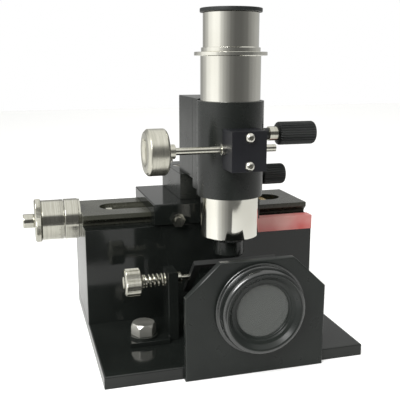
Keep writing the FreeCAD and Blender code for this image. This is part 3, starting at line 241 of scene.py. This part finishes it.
def from_bmesh(name, mesh, sharp_degrees=32):
    """An object from a bmesh, smooth but for its sharp edges."""
    bmesh.ops.recalc_face_normals(mesh, faces=mesh.faces)
    for face in mesh.faces:
        face.smooth = True
    for edge in mesh.edges:
        if len(edge.link_faces) == 2:
            edge.smooth = edge.calc_face_angle(0) < math.radians(sharp_degrees)
    data = bpy.data.meshes.new(name)
    mesh.to_mesh(data)
    mesh.free()
    piece = bpy.data.objects.new(name, data)
    bpy.context.scene.collection.objects.link(piece)
    weighted = piece.modifiers.new("weighted", "WEIGHTED_NORMAL")
    weighted.keep_sharp = True
    return piece


def softened(node, width, shortest=2.0 * MM):
    """A copy of a CAD node with its long sharp edges rounded off."""
    mesh = bmesh.new()
    mesh.from_mesh(frame["nodes"][node].data)
    bmesh.ops.remove_doubles(mesh, verts=mesh.verts, dist=1e-6)
    bmesh.ops.dissolve_limit(
        mesh, angle_limit=math.radians(0.5), verts=mesh.verts, edges=mesh.edges
    )
    sharp = [
        edge
        for edge in mesh.edges
        if len(edge.link_faces) == 2
        and edge.calc_face_angle(0) > math.radians(30)
        and edge.calc_length() > shortest
    ]
    bmesh.ops.bevel(
        mesh, geom=sharp, offset=width, segments=2, profile=0.5, affect="EDGES", clamp_overlap=False
    )
    return from_bmesh(f"{node}_finished", mesh)


def rounded(outline, radius, steps=3):
    """An outline with its corners rounded, as far as its edges leave room."""
    points = []
    for index, corner in enumerate(outline):
        corner = Vector(corner)
        back = Vector(outline[index - 1]) - corner
        ahead = Vector(outline[(index + 1) % len(outline)]) - corner
        reach = min(radius, 0.45 * back.length, 0.45 * ahead.length)
        if corner.x < 1e-9 or reach < 1e-9:
            points.append(corner)
            continue
        start = corner + back.normalized() * reach
        end = corner + ahead.normalized() * reach
        for step in range(steps + 1):
            t = step / steps
            points.append(start * (1 - t) ** 2 + corner * 2 * t * (1 - t) + end * t ** 2)
    return points


def along(axis, centre):
    """The matrix from local (across, across, along) to the frame, for a line along an axis."""
    turn = {"x": Matrix.Rotation(math.pi / 2, 4, "Y"), "y": Matrix.Rotation(-math.pi / 2, 4, "X")}
    place = Vector(centre)
    place[AXES.index(axis)] = 0.0
    return Matrix.Translation(place) @ turn.get(axis, Matrix.Identity(4))


def lathe(name, outline, axis, centre, segments=128, flutes=0, depth=0.0, band=(0.0, 0.0)):
    """A turned piece from a closed outline of (radius, place along the axis).

    Points inside the band, along the axis, are cut into flutes of that depth.
    """
    mesh = bmesh.new()
    widest = max(point[0] for point in outline)
    rings = []
    for radius, reach in outline:
        if radius < 1e-9:
            rings.append([mesh.verts.new((0, 0, reach))])
            continue
        fluted = flutes and band[0] - 1e-7 <= reach <= band[1] + 1e-7 and radius > 0.8 * widest
        ring = []
        for segment in range(segments):
            angle = 2 * math.pi * segment / segments
            cut = depth * (0.5 - 0.5 * math.cos(flutes * angle)) if fluted else 0.0
            across = radius - cut
            ring.append(mesh.verts.new((across * math.cos(angle), across * math.sin(angle), reach)))
        rings.append(ring)
    for first, second in zip(rings, rings[1:] + rings[:1]):
        if len(first) == 1 and len(second) == 1:
            continue
        for segment in range(segments):
            following = (segment + 1) % segments
            corners = {
                first[segment % len(first)]: None,
                first[following % len(first)]: None,
                second[following % len(second)]: None,
                second[segment % len(second)]: None,
            }
            mesh.faces.new(list(corners))
    mesh.transform(along(axis, centre))
    return from_bmesh(name, mesh)


def bar(node, axis):
    """Where a round CAD node starts and ends along an axis, its radius and its centre."""
    low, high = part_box(node)
    main = AXES.index(axis)
    across = (main + 1) % 3
    return low[main], high[main], (high[across] - low[across]) / 2, (low + high) / 2


def tube_outline(start, end, outer, inner, radius=0.3 * MM):
    """The outline of a plain tube with its four corners rounded."""
    return rounded([(inner, start), (outer, start), (outer, end), (inner, end)], radius)


def joined(name, parts):
    """One object from several."""
    mesh = bmesh.new()
    for part in parts:
        mesh.from_mesh(part.data)
        bpy.data.objects.remove(part)
    return from_bmesh(name, mesh)


def swept(name, points, radius, sides=12):
    """A round wire through points."""
    curve = bpy.data.curves.new(name, "CURVE")
    curve.dimensions = "3D"
    curve.bevel_depth = radius
    curve.bevel_resolution = sides // 4
    curve.use_fill_caps = True
    spline = curve.splines.new("POLY")
    spline.points.add(len(points) - 1)
    for target, point in zip(spline.points, points):
        target.co = (*point, 1.0)
    guide = bpy.data.objects.new(name, curve)
    bpy.context.scene.collection.objects.link(guide)
    bpy.context.view_layer.update()
    mesh = bmesh.new()
    mesh.from_mesh(bpy.data.meshes.new_from_object(guide))
    bpy.data.objects.remove(guide)
    bmesh.ops.remove_doubles(mesh, verts=mesh.verts, dist=1e-7)
    return from_bmesh(name, mesh)


# Flat and milled pieces, each a softened copy of its node -----------------------------------

MILLED = {
    # node: (material, slot, rounding)
    "base_plate": (GLOSS, "gloss_black_enamel", 0.25 * MM),
    "riser_front_panel": (GLOSS, "gloss_black_enamel", 0.35 * MM),
    "riser_rear_panel": (GLOSS, "gloss_black_enamel", 0.35 * MM),
    "riser_end_plates": (GLOSS, "gloss_black_enamel", 0.20 * MM),
    "riser_top_plate": (GLOSS, "gloss_black_enamel", 0.30 * MM),
    "dovetail_bed": (BED, "gloss_black_enamel", 0.25 * MM),
    "lens_plate": (PLATE, "gloss_black_enamel", 0.20 * MM),
    "plate_angle": (GLOSS, "gloss_black_enamel", 0.30 * MM),
    "glass_post": (GLOSS, "gloss_black_enamel", 0.35 * MM),
    "carriage_saddle": (GLOSS, "gloss_black_enamel", 0.25 * MM),
    "column_block": (SEMI, "gloss_black_enamel", 0.45 * MM),
    "column": (SEMI, "gloss_black_enamel", 0.40 * MM),
    "slide_plate": (SEMI, "gloss_black_enamel", 0.35 * MM),
    "pinion_block": (NAVY, "satin_black_enamel", 0.45 * MM),
    "gib_strip": (SEMI, "satin_black_enamel", 0.10 * MM),
    "glass_frame": (DULL, "satin_black_enamel", 0.20 * MM),
    "clamp_bolt": (ROUGH_NICKEL, "plated_fastener", 0.25 * MM),
    "label_strip": (RED, "red_enamel", 0.10 * MM),
}
PLAIN = {
    "clamp_washer": SEMI,
    "rings_cell_cup": SATIN,
    "cell_clamp_ring": SATIN,
    "cell_lock_ring": SATIN,
    "lens_keeper_ring": SATIN,
    "cross_wire_ring": SATIN,
    "socket_screws_m4": NICKEL,
    "pan_screws_m3": NICKEL,
    "cell_screws_m2": NICKEL,
    "gib_screws": NICKEL,
    "block_screws_m5": NICKEL,
    "height_pinion_shaft": STEEL,
    "focus_pinion_shaft": STEEL,
    "height_bush": STEEL,
    "height_rack": BRASS,
    "focus_rack": BRASS,
    "leadscrew_nut": BRASS,
    "screw_end_bearing": BRASS,
    "plane_glass": GLASS,
    "rings_lens": GLASS,
    "tilting_glass": GLASS,
    "objective_lens": GLASS,
    "eyepiece_lenses": GLASS,
}
BODY_OF = {
    node: body
    for body, nodes in frame["record"]["behaviour"]["bodies"].items()
    for node in nodes
}


def finish_milled():
    """Softened copies of the milled nodes, which stand for them."""
    for node, (material, slot, width) in MILLED.items():
        settle(softened(node, width), material, BODY_OF[node], [node])


def finish_plain():
    """Small and hidden nodes keep their CAD shape and only get a material."""
    for node, material in PLAIN.items():
        data = frame["nodes"][node].data
        data.materials.clear()
        data.materials.append(material)


# Turned pieces, each drawn again with round edges and finer facets ------------------------------

# How thick the tubes' walls are, and how far the flange and the bead stand out.
BORE_WALL = {"barrel": 1.9 * MM, "focusing_tube": 1.25 * MM, "eyepiece_barrel": 1.5 * MM}
FLANGE_THICK = 2.1 * MM
FLANGE_REACH = 3.5 * MM
BEAD_REACH = 0.95 * MM
BEAD_HEIGHT = 2.4 * MM


def barrel():
    """The black tube that the focusing tube slides in."""
    low, high, radius, centre = bar("barrel", "z")
    outline = tube_outline(low, high, radius, radius - BORE_WALL["barrel"], 0.35 * MM)
    piece = lathe("barrel_finished", outline, "z", centre)
    settle(piece, SATIN, "slide", ["barrel"])


def focusing_tube():
    """The chromed tube with the flange at its top."""
    low, high, flange, centre = bar("focusing_tube", "z")
    outer = flange - FLANGE_REACH
    inner = outer - BORE_WALL["focusing_tube"]
    under = high - FLANGE_THICK
    outline = [
        (inner, low), (outer, low), (outer, under), (flange, under), (flange, high), (inner, high)
    ]
    piece = lathe("focusing_tube_finished", rounded(outline, 0.40 * MM), "z", centre)
    settle(piece, CHROME, "tube", ["focusing_tube"])


def eyepiece():
    """The chromed barrel, whose bead rests on the flange, and its black cap."""
    low, high, widest, centre = bar("eyepiece_barrel", "z")
    outer = widest - BEAD_REACH
    inner = outer - BORE_WALL["eyepiece_barrel"]
    bead_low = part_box("focusing_tube")[1].z
    bead_high = bead_low + BEAD_HEIGHT
    outline = [
        (inner, low), (outer, low), (outer, bead_low), (widest, bead_low),
        (widest, bead_high), (outer, bead_high), (outer, high), (inner, high),
    ]
    piece = lathe("eyepiece_barrel_finished", rounded(outline, 0.55 * MM), "z", centre)
    settle(piece, CHROME, "eyepiece", ["eyepiece_barrel"])

    low, high, widest, centre = bar("eyepiece_cap", "z")
    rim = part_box("eyepiece_barrel")[1].z
    eye_hole = 5.5 * MM
    plug = inner - 0.05 * MM
    outline = [
        (eye_hole, low), (plug, low), (plug, rim), (widest, rim),
        (widest, high), (eye_hole + 3.5 * MM, high), (eye_hole, high - 1.4 * MM),
    ]
    cap = lathe("eyepiece_cap_finished", rounded(outline, 0.45 * MM), "z", centre)
    settle(cap, KNOB, "eyepiece", ["eyepiece_cap"])


def objective():
    """The nosepiece and the objective, with its fluted grip."""
    low, high, radius, centre = bar("nosepiece", "z")
    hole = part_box("objective")[1].x - centre.x - 2.0 * MM
    outline = tube_outline(low, high, radius, hole, 0.25 * MM)
    piece = lathe("nosepiece_finished", outline, "z", centre)
    settle(piece, SATIN, "tube", ["nosepiece"])

    shoulder = low
    low, high, radius, centre = bar("objective", "z")
    bore = 5.5 * MM
    stem = radius - 2.05 * MM
    body = radius - 0.5 * MM
    grip_low, grip_high = shoulder - 3.6 * MM, shoulder - 0.6 * MM
    outline = [
        (bore, low), (radius - 1.2 * MM, low), (body, low + 1.2 * MM),
        (body, grip_low), (radius, grip_low + 0.3 * MM), (radius, grip_high),
        (body, shoulder), (stem, shoulder), (stem, high), (bore, high),
    ]
    piece = lathe(
        "objective_finished", rounded(outline, 0.2 * MM), "z", centre,
        segments=216, flutes=54, depth=0.22 * MM, band=(grip_low, grip_high),
    )
    settle(piece, SATIN, "tube", ["objective"])


def lens_cell():
    """The bezel of the condenser, with its stepped mouth, and the lens inside it."""
    front, back, flange, centre = bar("lens_cell", "y")
    plate_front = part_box("lens_plate")[0].y
    flange_front = plate_front - 2.0 * MM
    rim = flange - 2.0 * MM
    neck = 18.75 * MM
    mouth = 14.8 * MM
    bore = 16.9 * MM
    seat = plate_front - 4.2 * MM
    bend = 2.4 * MM
    crown_steps, crown_degrees = 6, 108
    crown = []
    for step in range(crown_steps + 1):
        angle = math.radians(crown_degrees * step / crown_steps)
        crown.append((rim - bend + bend * math.cos(angle), front + bend - bend * math.sin(angle)))
    outline = [
        (mouth, seat), (bore, seat), (bore, back), (neck, back), (neck, plate_front),
        (flange, plate_front), (flange, flange_front), (rim + 0.5 * MM, flange_front),
        (rim, flange_front - 0.8 * MM), *crown, (mouth + 3.2 * MM, front + 2.2 * MM),
        (mouth + 1.4 * MM, front + 2.7 * MM), (mouth + 1.2 * MM, front + 3.3 * MM),
        (mouth, front + 3.7 * MM),
    ]
    piece = lathe("lens_cell_finished", rounded(outline, 0.5 * MM), "y", centre, segments=160)
    settle(piece, BEZEL, "bench", ["lens_cell"])
    # The dished face inside the crown is dull.
    piece.data.materials.append(PLATE)
    for polygon in piece.data.polygons:
        across = math.hypot(polygon.center.x - centre.x, polygon.center.z - centre.z)
        if across < rim - bend:
            polygon.material_index = 1

    low, high, radius, centre = bar("condenser_lens", "y")
    edge = 1.6 * MM
    bulge = high - low - edge
    sphere = (radius ** 2 + bulge ** 2) / (2 * bulge)
    steps = 14
    dome = []
    for step in range(steps + 1):
        across = radius * step / steps
        drop = sphere - math.sqrt(sphere ** 2 - across ** 2)
        dome.append((across, high - drop))
    outline = dome + [(radius, low), (0.0, low)]
    lens = lathe("condenser_lens_finished", outline, "y", centre)
    settle(lens, LENS_GLASS, "bench", ["condenser_lens"])


def micrometer():
    """Sleeve, drum, knurled grip and spindle, with plain engraved divisions."""
    low, high, radius, centre = bar("micrometer_sleeve", "x")
    bore = 3.05 * MM
    neck = radius - 0.35 * MM
    outline = [
        (bore, low), (radius - 0.3 * MM, low), (radius, low + 0.3 * MM),
        (radius, high - 1.5 * MM), (neck, high - 1.3 * MM), (neck, high), (bore, high),
    ]
    sleeve = lathe("micrometer_sleeve_finished", rounded(outline, 0.2 * MM), "x", centre)
    settle(sleeve, STEEL, "bench", ["micrometer_sleeve"])

    low, high, radius, centre = bar("micrometer_drum", "x")
    outline = tube_outline(low, high, radius, 3.0 * MM, 0.4 * MM)
    drum = lathe("micrometer_drum_finished", outline, "x", centre)
    settle(drum, STEEL, "micrometer", ["micrometer_drum"])
    engrave("drum_divisions", "micrometer", centre, radius, high, count=100, long_every=5)

    low, high, radius, centre = bar("drum_grip", "x")
    disc_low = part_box("lead_screw")[0].x
    spindle = 4.55 * MM
    outline = [
        (0.0, low), (spindle - 0.5 * MM, low), (spindle, low + 0.5 * MM),
        (spindle, disc_low - 0.6 * MM), (spindle - 0.5 * MM, disc_low),
        (radius - 1.0 * MM, disc_low), (radius, disc_low + 0.8 * MM),
        (radius, high - 0.8 * MM), (radius - 1.0 * MM, high), (0.0, high),
    ]
    band = (disc_low + 0.3 * MM, high - 0.3 * MM)
    grip = lathe(
        "drum_grip_finished", rounded(outline, 0.25 * MM), "x", centre,
        segments=384, flutes=96, depth=0.22 * MM, band=band,
    )
    settle(grip, STEEL, "micrometer", ["drum_grip"])


def engrave(name, body, centre, radius, edge, count, long_every):
    """Inked division lines round the edge of a drum that lies along X."""
    mesh = bmesh.new()
    width, proud, margin = 0.10 * MM, 0.01 * MM, 0.5 * MM
    long_line, short_line = 3.2 * MM, 1.8 * MM
    for index in range(count):
        length = short_line if index % long_every else long_line
        turn = Matrix.Rotation(2 * math.pi * index / count, 4, "X")
        place = Matrix.Translation((edge - margin - length / 2, centre.y, centre.z))
        size = Matrix.Diagonal((length, width, 2 * proud, 1.0))
        lift = Matrix.Translation((0, 0, radius))
        bmesh.ops.create_cube(mesh, size=1.0, matrix=place @ turn @ lift @ size)
    settle(from_bmesh(name, mesh), INK, body)


def lead_screw():
    """The screw with its fine thread where it shows in the slot of the bed."""
    low, high, radius, centre = bar("lead_screw", "x")
    core = 3.0 * MM
    root = core - 0.5 * MM
    pitch = 1.0 * MM
    depth = 0.45 * MM
    collar_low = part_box("riser_top_plate")[0].x + 17.0 * MM
    collar_high = collar_low + 4.0 * MM
    thread_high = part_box("screw_end_bearing")[0].x - 0.6 * MM
    outline = [
        (0.0, low), (core, low), (core, collar_low), (radius, collar_low),
        (radius, collar_high), (root, collar_high), (root, high), (0.0, high),
    ]
    shaft = lathe("lead_screw_shaft", rounded(outline, 0.2 * MM), "x", centre, segments=48)
    thread = thread_ridge(collar_high, thread_high, core, pitch, depth, centre)
    screw = joined("lead_screw_finished", [shaft, thread])
    settle(screw, SPRING, "micrometer", ["lead_screw"])


def thread_ridge(low, high, radius, pitch, depth, centre, around=24, along_turn=6):
    """A closed sleeve whose outside is a V thread."""
    mesh = bmesh.new()
    rows = int((high - low) / pitch * along_turn)
    rings = []
    for row in range(rows + 1):
        reach = low + (high - low) * row / rows
        ring = []
        for segment in range(around):
            turn = segment / around
            phase = (reach / pitch - turn) % 1.0
            across = radius - depth * abs(2 * phase - 1)
            angle = 2 * math.pi * turn
            ring.append(mesh.verts.new((across * math.cos(angle), across * math.sin(angle), reach)))
        rings.append(ring)
    for first, second in zip(rings, rings[1:]):
        for segment in range(around):
            following = (segment + 1) % around
            mesh.faces.new((first[segment], first[following], second[following], second[segment]))
    mesh.faces.new(rings[0])
    mesh.faces.new(rings[-1])
    mesh.transform(along("x", centre))
    return from_bmesh("thread", mesh)


def black_knob(node, body, low, high, radius, centre, stem=None):
    """A fluted plastic knob along X, and its steel stem where the node has one."""
    end = 1.7 * MM
    outline = [
        (0.0, low), (radius - 2.4 * MM, low), (radius - 0.5 * MM, low + 0.7 * MM),
        (radius, low + end), (radius, high - end), (radius - 0.6 * MM, high - 0.6 * MM),
        (radius - 2.2 * MM, high), (radius - 3.6 * MM, high), (radius - 4.2 * MM, high - 0.5 * MM),
        (0.0, high - 0.5 * MM),
    ]
    band = (low + 0.6 * MM, high - 1.0 * MM)
    knob = lathe(
        f"{node}_finished", rounded(outline, 0.7 * MM), "x", centre,
        segments=224, flutes=28, depth=0.55 * MM, band=band,
    )
    settle(knob, KNOB, body, [node])
    if stem:
        stem_low, stem_radius = stem
        outline = [
            (0.0, stem_low), (stem_radius, stem_low), (stem_radius, low + end), (0.0, low + end)
        ]
        rod = lathe(f"{node}_stem", rounded(outline, 0.3 * MM), "x", centre, segments=48)
        settle(rod, STEEL, body)


def black_knobs():
    """The knob of the height pinion and the lock screw below it."""
    low, high, radius, centre = bar("height_knob", "x")
    black_knob("height_knob", "height_drive", low, high, radius, centre)
    low, high, radius, centre = bar("lock_thumb_screw", "x")
    knob_low = high - 16.5 * MM
    stem = (low, 2.5 * MM)
    black_knob("lock_thumb_screw", "lock_screw", knob_low, high, radius, centre, stem)


def focus_knob():
    """The plain steel focusing knob, its hub and the hub's small set screw."""
    low, high, radius, centre = bar("focus_knob", "x")
    hub = 3.9 * MM
    shaft = 2.0 * MM
    dish = 1.6 * MM
    chamfer = 1.2 * MM
    rim = low + 11.7 * MM
    shaft_end = rim - 4.0 * MM
    outline = [
        (0.0, low + dish), (6.0 * MM, low + dish), (6.0 * MM + dish, low),
        (radius - dish, low), (radius, low + dish), (radius, rim - chamfer),
        (radius - chamfer, rim), (hub, rim), (hub, high), (shaft, high),
        (shaft, shaft_end), (0.0, shaft_end),
    ]
    knob = lathe("focus_knob_finished", rounded(outline, 0.35 * MM), "x", centre)
    settle(knob, SATIN_STEEL, "focus_drive", ["focus_knob"])

    head = 1.25 * MM
    socket = 0.55 * MM
    start = centre.z - hub - 1.5 * MM
    floor_of_socket = start + 0.5 * MM
    end = centre.z - hub + 0.3 * MM
    outline = [
        (0.0, floor_of_socket), (socket, floor_of_socket), (socket, start),
        (head, start), (head, end), (0.0, end),
    ]
    middle = ((rim + high) / 2, centre.y, centre.z)
    screw = lathe("focus_hub_screw", rounded(outline, 0.15 * MM), "z", middle, segments=48)
    settle(screw, NICKEL, "focus_drive")


def tilt_screw():
    """The knurled head and rod that tilt the glass, the coil spring and the collar."""
    low, high, radius, centre = bar("tilt_thumb_screw", "x")
    head_high = low + 10.0 * MM
    rod = 2.0 * MM
    outline = [
        (0.0, low + 0.8 * MM), (3.2 * MM, low + 0.8 * MM), (4.0 * MM, low),
        (radius - 1.1 * MM, low), (radius, low + 1.0 * MM), (radius, head_high - 1.0 * MM),
        (radius - 1.1 * MM, head_high), (rod + 0.8 * MM, head_high), (rod, head_high + 0.6 * MM),
        (rod, high), (0.0, high),
    ]
    band = (low + 0.5 * MM, head_high - 0.5 * MM)
    head = lathe(
        "tilt_thumb_screw_finished", rounded(outline, 0.3 * MM), "x", centre,
        segments=360, flutes=90, depth=0.14 * MM, band=band,
    )
    settle(head, STEEL, "glass_holder", ["tilt_thumb_screw"])

    low, high, radius, centre = bar("rod_collar", "x")
    outline = tube_outline(low, high, radius, rod, 0.3 * MM)
    settle(
        lathe("rod_collar_finished", outline, "x", centre, segments=64),
        STEEL, "glass_holder", ["rod_collar"],
    )

    low, high, radius, centre = bar("tilt_spring", "x")
    wire = 0.6 * MM
    coil = radius - wire
    turns, per_turn = 7, 28
    # The first and last turns are drawn in: each rises by the wire's radius only.
    open_turns = turns - 2
    open_rise = high - low - 4 * wire
    points = []
    for step in range(turns * per_turn + 1):
        turn = step / per_turn
        share = min(max(turn - 1, 0.0) / open_turns, 1.0)
        drawn_in = min(turn, 1.0) + max(turn - (turns - 1), 0.0)
        reach = low + wire + open_rise * share + wire * drawn_in
        angle = 2 * math.pi * turn
        points.append((reach, centre.y + coil * math.cos(angle), centre.z + coil * math.sin(angle)))
    spring = swept("tilt_spring_finished", points, wire)
    settle(spring, SPRING, "bench", ["tilt_spring"])


def pinion_block_screws():
    """Domed heads with hexagon sockets in place of the plain ones."""
    low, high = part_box("pinion_block_screws")
    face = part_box("pinion_block")[0].y
    radius = (high.x - low.x) / 2
    edge = 0.8 * MM
    rise = 2.0 * MM
    socket = 1.25 * MM
    bottom = face - 0.4 * MM
    plug = socket + 0.1 * MM
    dome = []
    dome_steps = 5
    for step in range(dome_steps + 1):
        angle = math.radians(22 + 68 * step / dome_steps)
        dome.append((radius * math.sin(angle), face - edge - rise * math.cos(angle)))
    outline = [(socket, face), (socket, dome[0][1]), *dome, (radius, face)]
    cup = [(0.0, bottom), (plug, bottom), (plug, face), (0.0, face)]
    heads = []
    for index, height in enumerate((low.z + radius, high.z - radius)):
        centre = ((low.x + high.x) / 2, 0, height)
        heads.append(lathe(f"head_{index}", outline, "y", centre, segments=64))
        heads.append(lathe(f"socket_{index}", cup, "y", centre, segments=6))
    screws = joined("pinion_block_screws_finished", heads)
    settle(screws, NICKEL, "slide", ["pinion_block_screws"])


def shaft_rings():
    """The black spacer on the height shaft and the bright bush where the focus shaft goes in."""
    knob_low, _, _, centre = bar("height_knob", "x")
    spacer_low = knob_low - 9.0 * MM
    spacer_high = knob_low - 5.7 * MM
    outline = tube_outline(spacer_low, spacer_high, 3.75 * MM, 2.6 * MM)
    spacer = lathe("height_shaft_spacer", outline, "x", centre, segments=64)
    settle(spacer, KNOB, "height_drive")

    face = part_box("pinion_block")[0].x
    centre = bar("focus_knob", "x")[3]
    outline = tube_outline(face - 2.2 * MM, face + 0.5 * MM, 3.1 * MM, 2.03 * MM)
    bush = lathe("focus_shaft_bush", outline, "x", centre, segments=64)
    settle(bush, STEEL, "slide")


# Camera, light and floor --------------------------------------------------------------------

def camera():
    """The photograph's view, fitted to the straight edges of the base plate and the riser."""
    data = bpy.data.cameras.new("camera")
    data.lens = 57.9
    data.clip_start = 0.01
    view = bpy.data.objects.new("camera", data)
    bpy.context.scene.collection.objects.link(view)
    view.location = (-0.1116, -0.3777, 0.1691)
    view.rotation_euler = (math.radians(90 - 12.32), 0.0, math.radians(-15.95))
    bpy.context.scene.camera = view


# The studio's brightness by bearing, in degrees anticlockwise from -X, seen from above.
BEARINGS = (
    (0, 1.20), (20, 1.15), (36, 0.66), (48, 0.43), (61, 0.28), (73, 0.17), (91, 0.12),
    (111, 0.12), (138, 0.16), (154, 0.26), (171, 0.34), (193, 0.42), (225, 0.45), (251, 0.50),
    (289, 0.34), (317, 0.56), (337, 1.00), (360, 1.20),
)


def sky():
    """A studio white overhead and at the left, dark behind the camera and grey elsewhere.

    The camera itself sees plain white.
    """
    world = bpy.data.worlds.new("studio")
    world.use_nodes = True
    bpy.context.scene.world = world
    tree = world.node_tree
    nodes, links = tree.nodes, tree.links

    def math_node(operation, *inputs):
        node = nodes.new("ShaderNodeMath")
        node.operation = operation
        for socket, value in zip(node.inputs, inputs):
            if isinstance(value, float):
                socket.default_value = value
            else:
                links.new(value, socket)
        return node.outputs["Value"]

    def mix(factor, first, second):
        mixed = nodes.new("ShaderNodeMix")
        mixed.data_type = "RGBA"
        links.new(factor, mixed.inputs["Factor"])
        for socket, colour in zip((mixed.inputs["A"], mixed.inputs["B"]), (first, second)):
            if isinstance(colour, tuple):
                socket.default_value = colour
            else:
                links.new(colour, socket)
        return mixed.outputs["Result"]

    direction = nodes.new("ShaderNodeTexCoord").outputs["Generated"]
    split = nodes.new("ShaderNodeSeparateXYZ")
    links.new(direction, split.inputs["Vector"])
    east, north, up = (split.outputs[letter] for letter in "XYZ")
    # Counted from -X, so that the ramp's two ends meet in the bright part.
    south = math_node("MULTIPLY", north, -1.0)
    west = math_node("MULTIPLY", east, -1.0)
    bearing = math_node("ARCTAN2", south, west)
    turn = math_node("FRACT", math_node("DIVIDE", bearing, 2 * math.pi))
    ramp = nodes.new("ShaderNodeValToRGB")
    ramp.color_ramp.interpolation = "EASE"
    stops = ramp.color_ramp.elements
    stops.remove(stops[1])
    stops[0].position = 0.0
    for index, (degrees, level) in enumerate(BEARINGS):
        stop = stops[0] if index == 0 else stops.new(degrees / 360)
        stop.color = (level, level, 0.985 * level, 1.0)
    links.new(turn, ramp.inputs["Fac"])

    # The white overhead begins about 30 degrees up and is whole at about 43.
    overhead = nodes.new("ShaderNodeMapRange")
    overhead.interpolation_type = "SMOOTHSTEP"
    overhead.inputs["From Min"].default_value = 0.48
    overhead.inputs["From Max"].default_value = 0.68
    links.new(up, overhead.inputs["Value"])
    ceiling = (1.02, 1.02, 1.0, 1.0)
    backdrop = (1.0, 1.0, 1.0, 1.0)
    lit = mix(overhead.outputs["Result"], ramp.outputs["Color"], ceiling)
    seen = nodes.new("ShaderNodeLightPath").outputs["Is Camera Ray"]
    links.new(mix(seen, lit, backdrop), nodes["Background"].inputs["Color"])


def lamp(name, place, target, size, power):
    """A rectangular lamp that faces a target."""
    data = bpy.data.lights.new(name, "AREA")
    data.shape = "RECTANGLE"
    data.size, data.size_y = size
    data.energy = power
    light = bpy.data.objects.new(name, data)
    bpy.context.scene.collection.objects.link(light)
    light.location = place
    aim = Vector(target) - Vector(place)
    light.rotation_euler = aim.to_track_quat("-Z", "Y").to_euler()


def floor():
    """White paper that ends close in front on the left and runs on at the right.

    It is brighter to the camera than to the object that it lights.
    """
    side, back = 1.6, 1.9
    left_front, right_front, step_x = -0.14, -0.4, -0.035
    below = 0.02 * MM
    material, tree, principled = shader("studio_floor", (0.80, 0.80, 0.79), 0.16)
    tree.links.new(spread(tree, noise(tree, 3), 0.13, 0.18), principled.inputs["Roughness"])
    bright = tree.nodes.new("ShaderNodeBsdfPrincipled")
    bright.inputs["Base Color"].default_value = (0.97, 0.97, 0.965, 1.0)
    bright.inputs["Roughness"].default_value = 0.16
    bright.inputs["Emission Color"].default_value = (1.0, 1.0, 0.99, 1.0)
    bright.inputs["Emission Strength"].default_value = 0.34
    mixed = tree.nodes.new("ShaderNodeMixShader")
    seen = tree.nodes.new("ShaderNodeLightPath").outputs["Is Camera Ray"]
    tree.links.new(seen, mixed.inputs["Fac"])
    tree.links.new(principled.outputs["BSDF"], mixed.inputs[1])
    tree.links.new(bright.outputs["BSDF"], mixed.inputs[2])
    tree.links.new(mixed.outputs["Shader"], tree.nodes["Material Output"].inputs["Surface"])
    mesh = bmesh.new()
    corners = [
        (-side, left_front), (step_x, left_front), (step_x, right_front),
        (side, right_front), (side, back), (-side, back),
    ]
    mesh.faces.new([mesh.verts.new((x, y, -below)) for x, y in corners])
    ground = from_bmesh("floor", mesh)
    ground.data.materials.append(material)


finish_milled()
finish_plain()
for build in (
    barrel,
    focusing_tube,
    eyepiece,
    objective,
    lens_cell,
    micrometer,
    lead_screw,
    black_knobs,
    focus_knob,
    tilt_screw,
    pinion_block_screws,
    shaft_rings,
):
    build()
camera()
sky()
lamp("key", place=(-0.75, -0.75, 0.95), target=(0, 0, 0.08), size=(0.7, 0.7), power=16)
floor()
bpy.context.scene.view_settings.view_transform = "Standard"
